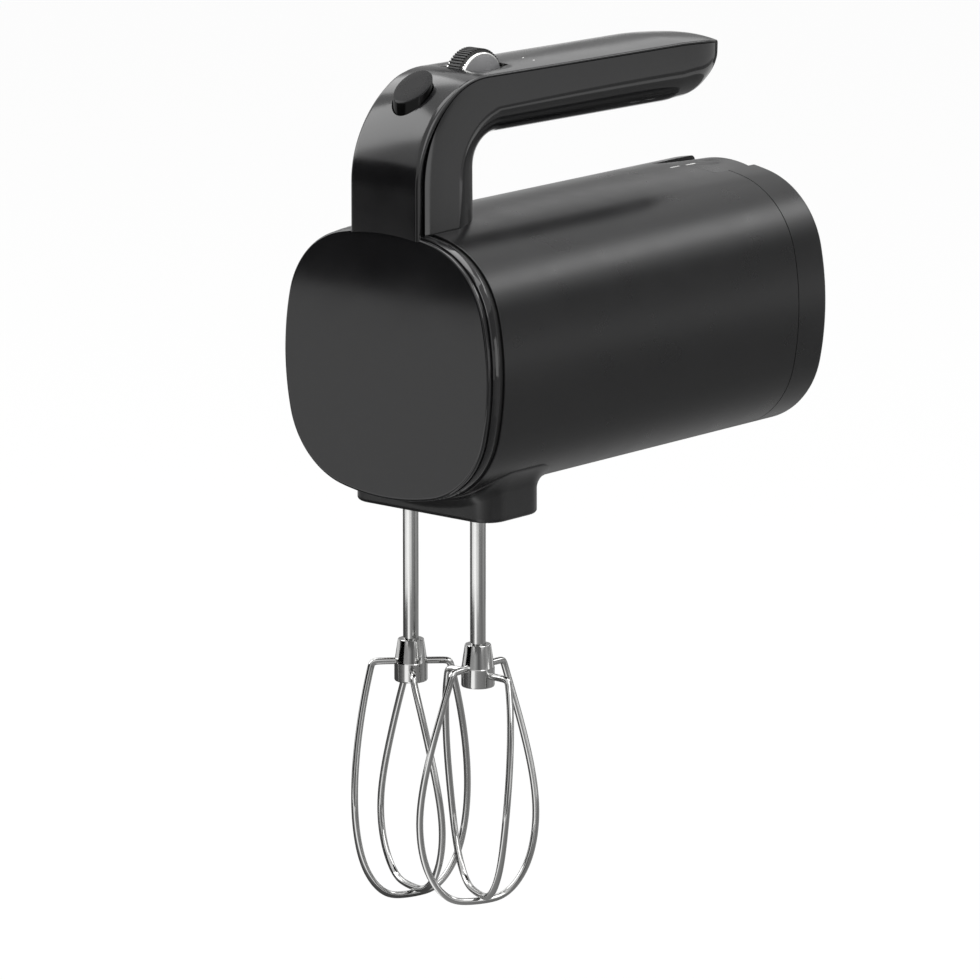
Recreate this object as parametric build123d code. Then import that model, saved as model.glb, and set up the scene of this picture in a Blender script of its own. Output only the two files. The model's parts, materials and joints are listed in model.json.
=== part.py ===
from build123d import *
import math
import os

# Cordless hand mixer with two balloon whisks, in millimetres.
# Pieces are drawn with y = 0 just behind the front face and the axis of the body at z = 0,
# front towards -Y, then moved so that the origin is the middle of the hand grip.

# Clearances
seat_gap = 0.1          # between fixed pieces with curved faces
slide_gap = 0.35        # around pieces that slide or turn in the open
run_gap = 0.05          # radial, in bearings
shaft_gap = 0.1         # radial, whisk shafts and pins in their bores
tiny = 0.01             # for telling edges apart

# Body: a square with bowed sides and large round corners, seen from the front
body_half_width = 49.9
body_half_height = 50.5
body_corner = 34.0
body_bow = 1.6
body_length = 195.4
wall = 2.4
plate_front = -1.5
plate_depth = 4.6       # where the groove starts
plate_thickness = 3.0
plate_edge = 1.2
groove_width = 2.5
groove_depth = 1.0
rear_cover_length = 17.4
rear_wall = 3.0
rear_edge = 2.0

# Handle: a stem at the front, a bend, and a grip that is open at the rear
stem_half_width = 16.2
stem_front = -2.4       # a little proud of the plate
stem_depth = 32.0
bend_radius = 38.4
inner_bend_radius = 14.0
handle_top = 106.0      # height of the top line at y = 0
grip_slope = 1.0        # degrees, falling to the rear
grip_height = 25.4
handle_edge = 5.5
split_depth = 7.0       # depth of the outer shell
droop_start = 150.0
handle_tip = 178.0
tip_top = 101.4
tip_low = 84.5
tip_undercut = 8.2
tip_rise = 150.0        # where the underside starts to rise
droop_bend = 120.0
tip_top_bend = 7.4
tip_low_bend = 17.0
rise_bend = 66.0
grip_centre_y = 110.0
grip_screw_places = (80.0, 150.0)

# Eject button, rod and yoke
button_radius = 7.2
button_y = 14.1
button_face = 101.2
button_tilt = 35.5
button_bottom = 84.0
button_edge = 0.8
eject_travel = 5.0
rod_radius = 3.0
yoke_thickness = 3.0
yoke_half_depth = 4.4
yoke_edge = 1.0
pin_head_radius = 4.6
pin_head = 2.6

# Bracket that carries the stem and guides the rod
bracket_wall = 2.0
bracket_front = 9.5
bracket_inset = 1.5
bracket_drop = 20.0
bracket_top = 66.0
bracket_web = 4.0
bracket_flange = 4.0
bracket_flange_thickness = 3.0
bracket_flange_drop = 1.6

# Speed dial
dial_radius = 13.6
dial_y = 47.5
dial_z = 97.1
tread_half = 3.0
dial_ring_width = 2.0
dial_cap_width = 2.4
dial_rib = 0.6
dial_rib_count = 40
dial_core_radius = 9.0
axle_radius = 2.0
sensor_half_y = 6.5
sensor_above = 2.5
sensor_below = 8.0

# Spindles, gears and boss
spindle_x = 16.35
spindle_y = 31.2
spindle_radius = 5.6
spindle_rise = 1.9      # above the lid of the gear case
spindle_bottom = -57.5
collar_radius = 8.0
collar_height = 2.0
bush_wall = 3.2
lower_bush_height = 10.0
upper_bush_height = 4.0
worm_z = -19.0
gear_teeth = 20
gear_face = 7.0
worm_pitch_radius = 4.0
worm_length = 24.4
addendum = 1.0
tip_clearance = 0.35
tooth_bite = 0.3        # how far a tooth sinks into its wheel
thread_half = 0.7
tooth_half = 0.66
pressure_angle = 20.0
boss_half_width = 34.5
boss_half_depth = 16.25
boss_y = 32.75
boss_corner = 9.0
boss_bottom = -58.0
boss_floor = 4.0
boss_edge = 1.2
flange_reach = 4.5
flange_thickness = 0.9
case_wall = 2.2
case_front_reach = 22.2
case_rear_reach = 20.8
case_below = 19.5
lid_gap = 0.4
gear_room = 1.2
case_corner = 5.0
lid_thickness = 4.0

# Motor
motor_radius = 18.0
motor_length = 50.0
motor_wall = 1.5
motor_cap_length = 6.0
motor_shaft_radius = 1.6
rotor_radius = 12.3
rotor_length = 34.0
rotor_start = 6.0
rotor_slot_width = 2.4
rotor_slot_depth = 5.0
rotor_slot_count = 5
magnet_thickness = 3.6
magnet_span = 130.0
commutator_radius = 5.0
commutator_length = 6.0
bearing_radius = 6.0
bearing_length = 6.0
cradle_thickness = 4.0
cradle_offset = 42.0

# Control board
board_z = 12.0
board_thickness = 1.6
board_half_width = 28.0
board_length = 49.0
board_margin = 8.0
chip_size = (8.0, 20.0, 0.8)
chip_x = -20.0
capacitor_x = -8.0
capacitor_setback = 34.0
capacitor_radius = 6.0
capacitor_length = 20.0
transistor_size = (10.0, 4.6, 15.0)
transistor_x = 12.0
transistor_count = 3
transistor_pitch = 12.0
connector_size = (16.0, 8.0, 7.0)
connector_setback = 2.0

# Battery
battery_radius = 24.5
battery_length = 73.8
battery_recess = 0.7    # behind the rear face
battery_cap_length = 4.8
battery_ring_length = 2.0
battery_ring_wall = 3.5
battery_edge = 0.8
bulkhead_thickness = 2.5
bulkhead_gap = 3.0
bay_wall = 1.8
cell_radius = 9.1
cell_length = 65.0
cell_ring = 10.7
cell_count = 3
cell_start = 1.6
contact_size = (6.0, 1.2, 10.0)
contact_x = 9.0
terminal_size = (3.0, 2.7, 5.0)

# Battery release button
release_half_width = 14.8
release_reach = 24.9    # from the rear face to its front end
release_recess = 0.3
release_thickness = 6.0
release_inset = 0.2
release_fall = 0.4      # of its middle line, to the rear
release_crown = 2.6     # rise of its rear end, from the sides to the middle
release_travel = 2.2
release_leg_half = 5.0
release_leg_reach = 20.5
release_leg_length = 8.0
release_leg_bottom = 31.5
dimple_radius = 30.0
dimple_depth = 0.9
dimple_setback = 11.5

# Whisks
whisk_shaft_radius = 2.9
whisk_top = -20.0
whisk_shaft_end = -117.0
shaft_tip_edge = 0.8
lug_radius = 4.4
lug_thickness = 1.6
lug_top = -48.0
lug_height = 6.0
lug_gap = 0.3
hub_top = -110.5
hub_bottom = -126.5
hub_radius = 6.2
hub_neck_radius = 4.85
hub_cone = 8.6
hub_edge = 0.6
wire_radius = 1.3
arm_z = -119.0
arm_reach = 14.4
arm_start = 2.0
belly_radius = 24.6
belly_z = -176.0
whisk_shoulder_radius = 22.0
whisk_shoulder = 13.0
foot_radius = 11.0
whisk_bottom = -208.3
right_whisk_lift = 3.0  # the right whisk hangs this much higher than the left
loop_step = 2.9         # the second loop crosses this far above the first
left_arm_angle = 44.9
right_arm_angle = 89.9
whisk_twist = 27.0
belly_share = 0.95      # of the twist, reached at the belly
arm_bend = 2.4
belly_bend = 45.0
shoulder_bend = 18.0
foot_bend = 16.0

# Springs and screws
spring_wire = 0.9
eject_spring_radius = 5.0
eject_spring_turns = 6
release_spring_radius = 3.6
release_spring_turns = 2
screw_radius = 1.5
screw_head_radius = 3.0
screw_head = 2.2
post_radius = 4.6
post_bite = 1.0         # how far a post sinks into the wall
post_length = 28.0
grip_post_radius = 3.6
thread_depth = 12.0
screw_reach = 11.0

# Worked out from the values above
pressure_slope = math.tan(math.radians(pressure_angle))
slope = math.tan(math.radians(grip_slope))
housing_start = plate_depth + groove_width
rear_seam = body_length - rear_cover_length
gear_pitch_radius = spindle_x - worm_pitch_radius
gear_tip_radius = gear_pitch_radius + addendum
gear_root_radius = gear_pitch_radius - addendum - tip_clearance
worm_tip_radius = worm_pitch_radius + addendum
worm_root_radius = worm_pitch_radius - addendum - tip_clearance
lead = 2 * math.pi * gear_pitch_radius / gear_teeth
lead_slope = lead / (2 * math.pi * worm_pitch_radius)
case_front = spindle_y - case_front_reach
case_rear = spindle_y + case_rear_reach
case_half_width = spindle_x + gear_tip_radius + gear_room + case_wall
case_floor = worm_z - case_below
lid_z = worm_z + bearing_radius + case_wall + lid_gap
spindle_top = lid_z + lid_thickness + spindle_rise
motor_rear = case_rear + motor_length
battery_end = body_length - battery_recess
battery_front = battery_end - battery_length
release_start = body_length - release_reach
release_end = body_length - release_recess
bulkhead_start = battery_front - bulkhead_gap - bulkhead_thickness
whisk_bore = whisk_shaft_radius + shaft_gap
bush_radius = spindle_radius + run_gap + bush_wall
pin_head_bottom = spindle_top + eject_travel + slide_gap
yoke_bottom = pin_head_bottom + pin_head + slide_gap
dial_half = tread_half + dial_ring_width + dial_cap_width
stem_inside = stem_half_width - wall
grip_centre_z = handle_top - slope * grip_centre_y - grip_height / 2


def top_line(y):
    return handle_top - slope * y


def under_line(y):
    return top_line(y) - grip_height


# Prisms and rods along the three axes
def along_x(sketch, start, end):
    return extrude(Pos(start, 0, 0) * (Plane.YZ * sketch), end - start, dir=(1, 0, 0))


def along_y(sketch, start, end):
    return extrude(Pos(0, start, 0) * (Plane.XZ * sketch), end - start, dir=(0, 1, 0))


def along_z(sketch, start, end):
    return extrude(Pos(0, 0, start) * sketch, end - start, dir=(0, 0, 1))


def rod_x(radius, start, end, y, z):
    return along_x(Pos(y, z) * Circle(radius), start, end)


def rod_y(radius, start, end, x, z):
    return along_y(Pos(x, z) * Circle(radius), start, end)


def rod_z(radius, start, end, x, y):
    return along_z(Pos(x, y) * Circle(radius), start, end)


def block(x_range, y_range, z_range):
    size = [high - low for low, high in (x_range, y_range, z_range)]
    middle = [(high + low) / 2 for low, high in (x_range, y_range, z_range)]
    return Pos(*middle) * Box(*size)


def round_corner(sketch, point, radius):
    corner = sketch.vertices().sort_by_distance((point[0], point[1], 0))[0]
    return fillet(corner, radius)


# Section of the body, drawn in from its outside by the inset
def side_radius():
    reach = body_half_height - body_corner - body_bow
    return body_corner + body_bow / 2 + reach**2 / (2 * body_bow)


def top_radius():
    reach = body_half_width - body_corner - body_bow
    return body_corner + body_bow / 2 + reach**2 / (2 * body_bow)


def tube_outline(inset=0.0):
    reach_x = body_half_width - body_corner - body_bow
    reach_z = body_half_height - body_corner - body_bow
    corner = Vector(reach_x, reach_z)
    to_side = (corner - Vector(body_half_width - side_radius(), 0)).normalized()
    to_top = (corner - Vector(0, body_half_height - top_radius())).normalized()
    radius = body_corner - inset
    side_end = corner + to_side * radius
    middle = corner + (to_side + to_top).normalized() * radius
    top_end = corner + to_top * radius
    right = body_half_width - inset
    top = body_half_height - inset
    arcs = []
    for sx, sz in ((1, 1), (-1, 1), (-1, -1), (1, -1)):
        a = (sx * side_end.X, sz * side_end.Y)
        b = (sx * middle.X, sz * middle.Y)
        c = (sx * top_end.X, sz * top_end.Y)
        arcs.append(ThreePointArc(a, b, c))
    for s in (1, -1):
        low = (s * side_end.X, -side_end.Y)
        high = (s * side_end.X, side_end.Y)
        arcs.append(ThreePointArc(low, (s * right, 0), high))
        near = (-top_end.X, s * top_end.Y)
        far = (top_end.X, s * top_end.Y)
        arcs.append(ThreePointArc(near, (0, s * top), far))
    return make_face(Wire(arcs))


def corner_posts(inset):
    diagonal = math.sqrt(0.5)
    reach = body_corner - wall - inset
    x = body_half_width - body_corner - body_bow + reach * diagonal
    z = body_half_height - body_corner - body_bow + reach * diagonal
    return [(sx * x, sz * z) for sx in (1, -1) for sz in (1, -1)]


screw_places = corner_posts(post_radius - post_bite)


# Fixed casings
def front_plate():
    plate = along_y(tube_outline(), plate_front, plate_depth)
    plate = fillet(plate.faces().sort_by(Axis.Y)[0].edges(), plate_edge)
    return plate - along_y(tube_outline(wall), plate_thickness, plate_depth)


def front_bezel():
    ring = tube_outline(groove_depth) - tube_outline(groove_depth + wall)
    return along_y(ring, plate_depth, housing_start)


def release_notch():
    half = release_half_width + slide_gap
    y_range = (release_start - slide_gap, body_length)
    low = body_half_height - release_thickness - release_travel - slide_gap
    return block((-half, half), y_range, (low, body_half_height))


def boss_outline(grow=0.0):
    width = 2 * (boss_half_width + grow)
    depth = 2 * (boss_half_depth + grow)
    return Pos(0, boss_y) * RectangleRounded(width, depth, boss_corner + grow)


def bracket_outline(grow=0.0):
    half = stem_inside - bracket_inset + grow
    front = bracket_front - grow
    rear = stem_depth - wall - bracket_inset + grow
    return Pos(0, (front + rear) / 2) * Rectangle(2 * half, rear - front)


def main_housing():
    shell = along_y(tube_outline() - tube_outline(wall), housing_start, rear_seam)
    inside = along_y(tube_outline(wall / 2), housing_start, rear_seam)
    for x, z in screw_places:
        post = rod_y(post_radius, rear_seam - post_length, rear_seam, x, z) & inside
        shell = shell + post
    for x, z in screw_places:
        shell = shell - rod_y(screw_radius + run_gap, rear_seam - thread_depth, rear_seam, x, z)
    shell = shell - along_z(boss_outline(seat_gap), boss_bottom, 0)
    shell = shell - along_z(bracket_outline(seat_gap), 0, body_half_height)
    return shell - release_notch()


def rear_cover():
    cover = along_y(tube_outline(), rear_seam, body_length)
    cover = fillet(cover.faces().sort_by(Axis.Y)[-1].edges(), rear_edge)
    cover = cover - along_y(tube_outline(wall), rear_seam, body_length - rear_wall)
    inside = along_y(tube_outline(wall / 2), rear_seam, body_length - rear_wall)
    for x, z in screw_places:
        cover = cover + (rod_y(post_radius, rear_seam, body_length - rear_wall, x, z) & inside)
    for x, z in screw_places:
        cover = cover - rod_y(screw_radius + run_gap, rear_seam, body_length, x, z)
        cover = cover - rod_y(screw_head_radius + seat_gap, body_length - rear_wall, body_length, x, z)
    cover = cover - rod_y(battery_radius + slide_gap, rear_seam, body_length, 0, 0)
    return cover - release_notch()


def spindle_boss():
    top = case_floor
    boss = along_z(boss_outline(), boss_bottom, top)
    boss = fillet(boss.faces().sort_by(Axis.Z)[0].edges(), boss_edge)
    boss = boss - along_z(boss_outline(-wall), boss_bottom + boss_floor, top)
    band = tube_outline(-flange_thickness) - tube_outline()
    span = boss_half_depth + flange_reach
    flange = along_y(band, boss_y - span, boss_y + span)
    flange = flange & along_z(boss_outline(flange_reach), 2 * boss_bottom, 0)
    flange = flange - along_z(boss_outline(-wall / 2), 2 * boss_bottom, 0)
    boss = boss + flange
    bush_top = boss_bottom + lower_bush_height
    for side in (1, -1):
        boss = boss + rod_z(bush_radius + wall, boss_bottom, bush_top, side * spindle_x, spindle_y)
    for side in (1, -1):
        boss = boss - rod_z(bush_radius, boss_bottom, 0, side * spindle_x, spindle_y)
    return boss


def bush_pair(start, height):
    ring = Circle(bush_radius) - Circle(spindle_radius + run_gap)
    return [along_z(Pos(side * spindle_x, spindle_y) * ring, start, start + height) for side in (-1, 1)]


# Handle
def handle_profile():
    points = [
        (stem_front, 0),
        (stem_front, top_line(stem_front)),
        (droop_start, top_line(droop_start)),
        (handle_tip, tip_top),
        (handle_tip - tip_undercut, tip_low),
        (tip_rise, under_line(tip_rise)),
        (stem_depth, under_line(stem_depth)),
        (stem_depth, 0),
    ]
    radii = [None, bend_radius, droop_bend, tip_top_bend, tip_low_bend, rise_bend, inner_bend_radius, None]
    profile = make_face(Polyline(*points, close=True))
    for point, radius in zip(points, radii):
        if radius:
            profile = round_corner(profile, point, radius)
    return profile


def handle_form(inset):
    half = stem_half_width - inset
    profile = handle_profile()
    if inset:
        profile = offset(profile, amount=-inset, kind=Kind.INTERSECTION)
    form = along_x(profile, -half, half)
    side_edges = [edge for edge in form.edges() if abs(abs(edge.center().X) - half) < tiny]
    side_edges = [edge for edge in side_edges if edge.center().Z > 2 * inset + tiny]
    form = fillet(side_edges, handle_edge - inset)
    return form - along_y(tube_outline(), stem_front - wall, handle_tip)


def below_split():
    far = handle_tip + bend_radius
    drop = split_depth
    fall = (top_line(droop_start) - tip_top) / (handle_tip - droop_start)
    points = [
        (stem_front + split_depth, 0),
        (stem_front + split_depth, top_line(stem_front + split_depth) - drop),
        (droop_start, top_line(droop_start) - drop),
        (far, top_line(droop_start) - drop - fall * (far - droop_start)),
        (far, 0),
    ]
    region = make_face(Polyline(*points, close=True))
    region = round_corner(region, points[1], bend_radius - split_depth)
    return along_x(region, -2 * stem_half_width, 2 * stem_half_width)


def dial_slot():
    slot = rod_x(dial_radius + slide_gap, -tread_half - slide_gap, tread_half + slide_gap, dial_y, dial_z)
    half = dial_half + slide_gap
    return slot + rod_x(dial_radius - dial_rib + slide_gap, -half, half, dial_y, dial_z)


def button_hole():
    return rod_z(button_radius + slide_gap, button_bottom - eject_travel, 2 * handle_top, 0, button_y)


def split_height(y):
    return top_line(y) - split_depth


def handle_outer_shell():
    shell = handle_form(0) - handle_form(wall) - below_split()
    for y in grip_screw_places:
        post = rod_z(grip_post_radius, split_height(y), top_line(y) - wall / 2, 0, y)
        shell = shell + (post - below_split())
    for y in grip_screw_places:
        shell = shell - rod_z(screw_radius + run_gap, split_height(y) - wall, top_line(y) - wall, 0, y)
    return shell - dial_slot() - button_hole()


def handle_inner_shell():
    shell = (handle_form(0) - handle_form(wall)) & below_split()
    for y in grip_screw_places:
        post = rod_z(post_radius, under_line(y) + wall / 2, split_height(y) + wall, 0, y)
        shell = shell + (post & below_split())
    for y in grip_screw_places:
        head_seat = under_line(y) + wall + screw_head
        shell = shell - rod_z(screw_radius + run_gap, 0, top_line(y), 0, y)
        shell = shell - rod_z(screw_head_radius + seat_gap, 0, head_seat, 0, y)
    return shell - dial_slot() - button_hole()


def handle_bracket():
    sleeve = bracket_outline() - bracket_outline(-bracket_wall)
    bottom = body_half_height - bracket_drop
    bracket = along_z(sleeve, bottom, bracket_top)
    bracket = bracket + along_z(bracket_outline(), bracket_top - bracket_web, bracket_top)
    plate = bracket_outline(bracket_flange) - bracket_outline(-bracket_wall)
    plate_top = body_half_height - wall - bracket_flange_drop
    plate = along_z(plate, plate_top - bracket_flange_thickness, plate_top)
    bracket = bracket + (plate & along_y(tube_outline(wall), housing_start, rear_seam))
    return bracket - rod_z(rod_radius + slide_gap, 0, bracket_top, 0, button_y)


# Eject mechanism
def eject_button():
    reach = 4 * button_radius
    button = rod_z(button_radius, button_bottom, button_face + button_radius, 0, button_y)
    above = Pos(0, 0, reach / 2) * Box(reach, reach, reach)
    button = button - Pos(0, button_y, button_face) * Rot(button_tilt, 0, 0) * above
    rim = button.faces().sort_by(Axis.Z)[-1].edges()
    return chamfer(rim, button_edge)


def eject_rod():
    return rod_z(rod_radius, yoke_bottom + yoke_thickness, button_bottom, 0, button_y)


def ejector_yoke():
    bar = Pos(0, spindle_y) * Rectangle(2 * (spindle_x + pin_head_radius), 2 * yoke_half_depth)
    spine_front = button_y - rod_radius - yoke_edge
    spine = Pos(0, (spine_front + spindle_y) / 2) * Rectangle(2 * yoke_half_depth, spindle_y - spine_front)
    return along_z(bar + spine, yoke_bottom, yoke_bottom + yoke_thickness)


def eject_pin(side):
    x = side * spindle_x
    pin = rod_z(whisk_shaft_radius, whisk_top + slide_gap, pin_head_bottom, x, spindle_y)
    return pin + rod_z(pin_head_radius, pin_head_bottom, pin_head_bottom + pin_head, x, spindle_y)


# Speed dial
def speed_dial():
    tread = Circle(dial_radius - dial_rib)
    rib_width = math.pi * dial_radius / dial_rib_count
    for place in PolarLocations(dial_radius - dial_rib, dial_rib_count):
        tread = tread + place * Rectangle(2 * dial_rib, rib_width)
    tread = tread - Circle(axle_radius + run_gap)
    core = Circle(dial_core_radius) - Circle(axle_radius + run_gap)
    middle = Pos(dial_y, dial_z)
    half = tread_half + dial_ring_width
    return along_x(middle * tread, -tread_half, tread_half) + along_x(middle * core, -half, half)


def dial_rings():
    rings = []
    outer = dial_radius - dial_rib
    for side in (-1, 1):
        points = [
            (dial_core_radius, 0),
            (outer, 0),
            (outer, dial_ring_width / 2),
            (outer - dial_ring_width / 2, dial_ring_width),
            (dial_core_radius, dial_ring_width),
        ]
        section = make_face(Polyline(*points, close=True))
        ring = revolve(Plane.XZ * section, Axis.Z)
        rings.append(Pos(side * tread_half, dial_y, dial_z) * Rot(0, 90 * side, 0) * ring)
    return rings


def dial_caps():
    caps = []
    outer = dial_radius - dial_rib - dial_ring_width / 2
    bore = axle_radius + run_gap
    ball = (outer**2 + dial_cap_width**2) / (2 * dial_cap_width)
    cap = Pos(0, 0, dial_cap_width - ball) * Sphere(ball)
    cap = cap & rod_z(outer, 0, dial_cap_width, 0, 0)
    cap = cap - rod_z(bore, 0, dial_cap_width, 0, 0)
    for side in (-1, 1):
        caps.append(Pos(side * (dial_half - dial_cap_width), dial_y, dial_z) * Rot(0, 90 * side, 0) * cap)
    return caps


def dial_axle():
    return rod_x(axle_radius, -stem_inside, stem_inside, dial_y, dial_z)


def speed_sensor():
    y_range = (dial_y - sensor_half_y, dial_y + sensor_half_y)
    z_range = (dial_z - sensor_below, dial_z + sensor_above)
    box = block((dial_half + slide_gap, stem_inside), y_range, z_range)
    return box - rod_x(axle_radius + run_gap, 0, stem_inside, dial_y, dial_z)


# Gear train
def case_outline(inset=0.0):
    width = 2 * (case_half_width - inset)
    depth = case_rear - case_front - 2 * inset
    return Pos(0, (case_front + case_rear) / 2) * Rectangle(width, depth)


def gear_case():
    case = along_z(case_outline(), case_floor, lid_z)
    low_sides = case.edges().filter_by(Axis.Y).group_by(Axis.Z)[0]
    case = chamfer(low_sides, case_corner)
    case = case - (along_z(case_outline(case_wall), case_floor + case_wall, lid_z) - case_ribs())
    case = case + rod_y(bearing_radius + case_wall, case_front, case_front + bearing_length, 0, worm_z)
    case = case - rod_y(bearing_radius, case_front, case_front + bearing_length, 0, worm_z)
    case = case - rod_y(worm_tip_radius + slide_gap, case_rear - case_wall, case_rear, 0, worm_z)
    for side in (1, -1):
        case = case - rod_z(spindle_radius + slide_gap, case_floor, 0, side * spindle_x, spindle_y)
    for x, y in case_screw_places():
        case = case - rod_z(screw_radius + run_gap, lid_z - thread_depth, lid_z, x, y)
    return case


def case_screw_places():
    x = case_half_width - case_corner
    front = case_front + case_corner
    rear = case_rear - case_corner
    return [(-x, front), (x, front), (-x, rear), (x, rear)]


def case_ribs():
    posts = [rod_z(case_corner, case_floor, lid_z, x, y) for x, y in case_screw_places()]
    ribs = posts[0]
    for post in posts[1:]:
        ribs = ribs + post
    clear = gear_tip_radius + gear_room / 2
    for side in (1, -1):
        ribs = ribs - rod_z(clear, case_floor, 0, side * spindle_x, spindle_y)
    return ribs


def gear_case_lid():
    lid = along_z(case_outline(), lid_z, lid_z + lid_thickness)
    for side in (1, -1):
        lid = lid - rod_z(bush_radius, lid_z, lid_z + lid_thickness, side * spindle_x, spindle_y)
    for x, y in case_screw_places():
        lid = lid - rod_z(screw_radius + run_gap, lid_z, lid_z + lid_thickness, x, y)
    return lid


def spindle(side):
    x = side * spindle_x
    tube = rod_z(spindle_radius, spindle_bottom, spindle_top, x, spindle_y)
    collar_start = boss_bottom + lower_bush_height + slide_gap
    tube = tube + rod_z(collar_radius, collar_start, collar_start + collar_height, x, spindle_y)
    tube = tube - rod_z(whisk_bore, spindle_bottom, spindle_top, x, spindle_y)
    slot = lug_cross(lug_radius + lug_gap, lug_thickness + 2 * lug_gap)
    place = Pos(x, spindle_y) * Rot(0, 0, arm_angle(side))
    return tube - along_z(place * slot, spindle_bottom, lug_top + lug_gap)


def lug_cross(radius, thickness):
    return Rectangle(2 * radius, thickness) + Rectangle(thickness, 2 * radius)


def arm_angle(side):
    return right_arm_angle if side > 0 else left_arm_angle


def worm_wheel(side):
    tip_half = tooth_half - addendum * pressure_slope
    base = gear_root_radius - tooth_bite
    base_half = tooth_half + (gear_pitch_radius - base) * pressure_slope
    tip = gear_tip_radius
    tooth = Polygon((base, -base_half), (tip, -tip_half), (tip, tip_half), (base, base_half), align=None)
    wheel = Circle(gear_root_radius)
    phase = 180 / gear_teeth if side > 0 else 0
    twist = math.degrees(gear_face * lead_slope / gear_pitch_radius)
    for step in range(gear_teeth):
        wheel = wheel + Rot(0, 0, phase - twist / 2 + step * 360 / gear_teeth) * tooth
    blank = Solid.extrude_linear_with_rotation(wheel.faces()[0], (0, 0, 0), (0, 0, gear_face), twist)
    wheel = Pos(side * spindle_x, spindle_y, worm_z - gear_face / 2) * blank
    return wheel - rod_z(spindle_radius, spindle_bottom, 0, side * spindle_x, spindle_y)


def worm():
    turns = math.ceil(worm_length / lead / 2) + 1
    path = Helix(lead, 2 * turns * lead, worm_pitch_radius, center=(0, 0, -turns * lead))
    root = worm_root_radius - worm_pitch_radius - tooth_bite
    root_half = thread_half - root * pressure_slope
    tip_half = thread_half - addendum * pressure_slope
    corners = [(root, -root_half), (addendum, -tip_half), (addendum, tip_half), (root, root_half)]
    thread = Polygon(*corners, align=None)
    start = Plane(path @ 0, x_dir=(1, 0, 0), z_dir=path % 0)
    ridge = sweep(start * thread, path=path, is_frenet=True)
    core = Cylinder(worm_root_radius, worm_length)
    screw = (core + ridge) & Cylinder(2 * worm_tip_radius, worm_length)
    screw = screw - Cylinder(motor_shaft_radius, worm_length)
    return Pos(0, spindle_y, worm_z) * Rot(-90, 0, 0) * screw


def worm_bearing():
    ring = Circle(bearing_radius) - Circle(motor_shaft_radius + run_gap)
    return along_y(Pos(0, worm_z) * ring, case_front, case_front + bearing_length)


# Motor
def motor_shaft():
    return rod_y(motor_shaft_radius, case_front, motor_rear + motor_cap_length, 0, worm_z)


def motor_can():
    can = rod_y(motor_radius, case_rear, motor_rear, 0, worm_z)
    can = can - rod_y(motor_radius - motor_wall, case_rear + motor_wall, motor_rear, 0, worm_z)
    return can - rod_y(motor_shaft_radius + run_gap, case_rear, motor_rear, 0, worm_z)


def motor_end_cap():
    ring = Circle(motor_radius) - Circle(motor_shaft_radius + run_gap)
    return along_y(Pos(0, worm_z) * ring, motor_rear, motor_rear + motor_cap_length)


def motor_magnets():
    outer = motor_radius - motor_wall - seat_gap
    ring = Circle(outer) - Circle(outer - magnet_thickness)
    far = 2 * motor_radius
    open_angle = math.radians(magnet_span / 2)
    wedge = Polygon((0, 0), (far * math.cos(open_angle), -far * math.sin(open_angle)), (2 * far, 0),
                    (far * math.cos(open_angle), far * math.sin(open_angle)), align=None)
    start = case_rear + rotor_start
    magnets = []
    for turn in (0, 180):
        segment = Pos(0, worm_z) * Rot(0, 0, turn) * (ring & wedge)
        magnets.append(along_y(segment, start, start + rotor_length))
    return magnets


def rotor_core():
    disc = Circle(rotor_radius)
    for place in PolarLocations(rotor_radius, rotor_slot_count):
        disc = disc - place * Rectangle(2 * rotor_slot_depth, rotor_slot_width)
    disc = disc - Circle(motor_shaft_radius)
    start = case_rear + rotor_start
    return along_y(Pos(0, worm_z) * disc, start, start + rotor_length)


def commutator():
    ring = Circle(commutator_radius) - Circle(motor_shaft_radius)
    start = case_rear + rotor_start + rotor_length
    return along_y(Pos(0, worm_z) * ring, start, start + commutator_length)


def motor_cradle():
    start = case_rear + cradle_offset
    plate = along_y(tube_outline(wall + seat_gap), start, start + cradle_thickness)
    above = (board_z, body_half_height)
    plate = plate - block((-body_half_width, body_half_width), (start, start + cradle_thickness), above)
    return plate - rod_y(motor_radius + seat_gap, start, start + cradle_thickness, 0, worm_z)


# Control board
def control_board():
    y_range = (bulkhead_start - board_length, bulkhead_start)
    return block((-board_half_width, board_half_width), y_range, (board_z, board_z + board_thickness))


def board_parts():
    top = board_z + board_thickness
    rear = bulkhead_start - board_margin
    front = bulkhead_start - board_length + connector_setback
    width, length, height = chip_size
    parts = [block((chip_x - width / 2, chip_x + width / 2), (rear - length, rear), (top, top + height))]
    start = rear - capacitor_setback
    middle = top + capacitor_radius
    parts.append(rod_y(capacitor_radius, start, start + capacitor_length, capacitor_x, middle))
    width, depth, height = transistor_size
    for index in range(transistor_count):
        y = rear - index * transistor_pitch
        parts.append(block((transistor_x, transistor_x + depth), (y - width, y), (top, top + height)))
    width, depth, height = connector_size
    parts.append(block((-width / 2, width / 2), (front, front + depth), (top, top + height)))
    return parts


# Battery and its bay
def battery_bay():
    bay = along_y(tube_outline(wall + seat_gap), bulkhead_start, bulkhead_start + bulkhead_thickness)
    bore = battery_radius + slide_gap
    end = body_length - rear_wall
    ring = Circle(bore + bay_wall) - Circle(bore)
    return bay + along_y(ring, bulkhead_start + bulkhead_thickness, end)


def battery_terminals():
    start = bulkhead_start + bulkhead_thickness
    return contact_pair(terminal_size, start)


def contact_pads():
    return contact_pair(contact_size, battery_front)


def contact_pair(size, start):
    width, depth, height = size
    pair = []
    for x in (-contact_x, contact_x):
        z_range = (cell_ring - height / 2, cell_ring + height / 2)
        pair.append(block((x - width / 2, x + width / 2), (start, start + depth), z_range))
    return pair


def cell_places():
    angles = [math.radians(90 + step * 360 / cell_count) for step in range(cell_count)]
    return [(cell_ring * math.cos(a), cell_ring * math.sin(a)) for a in angles]


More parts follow.
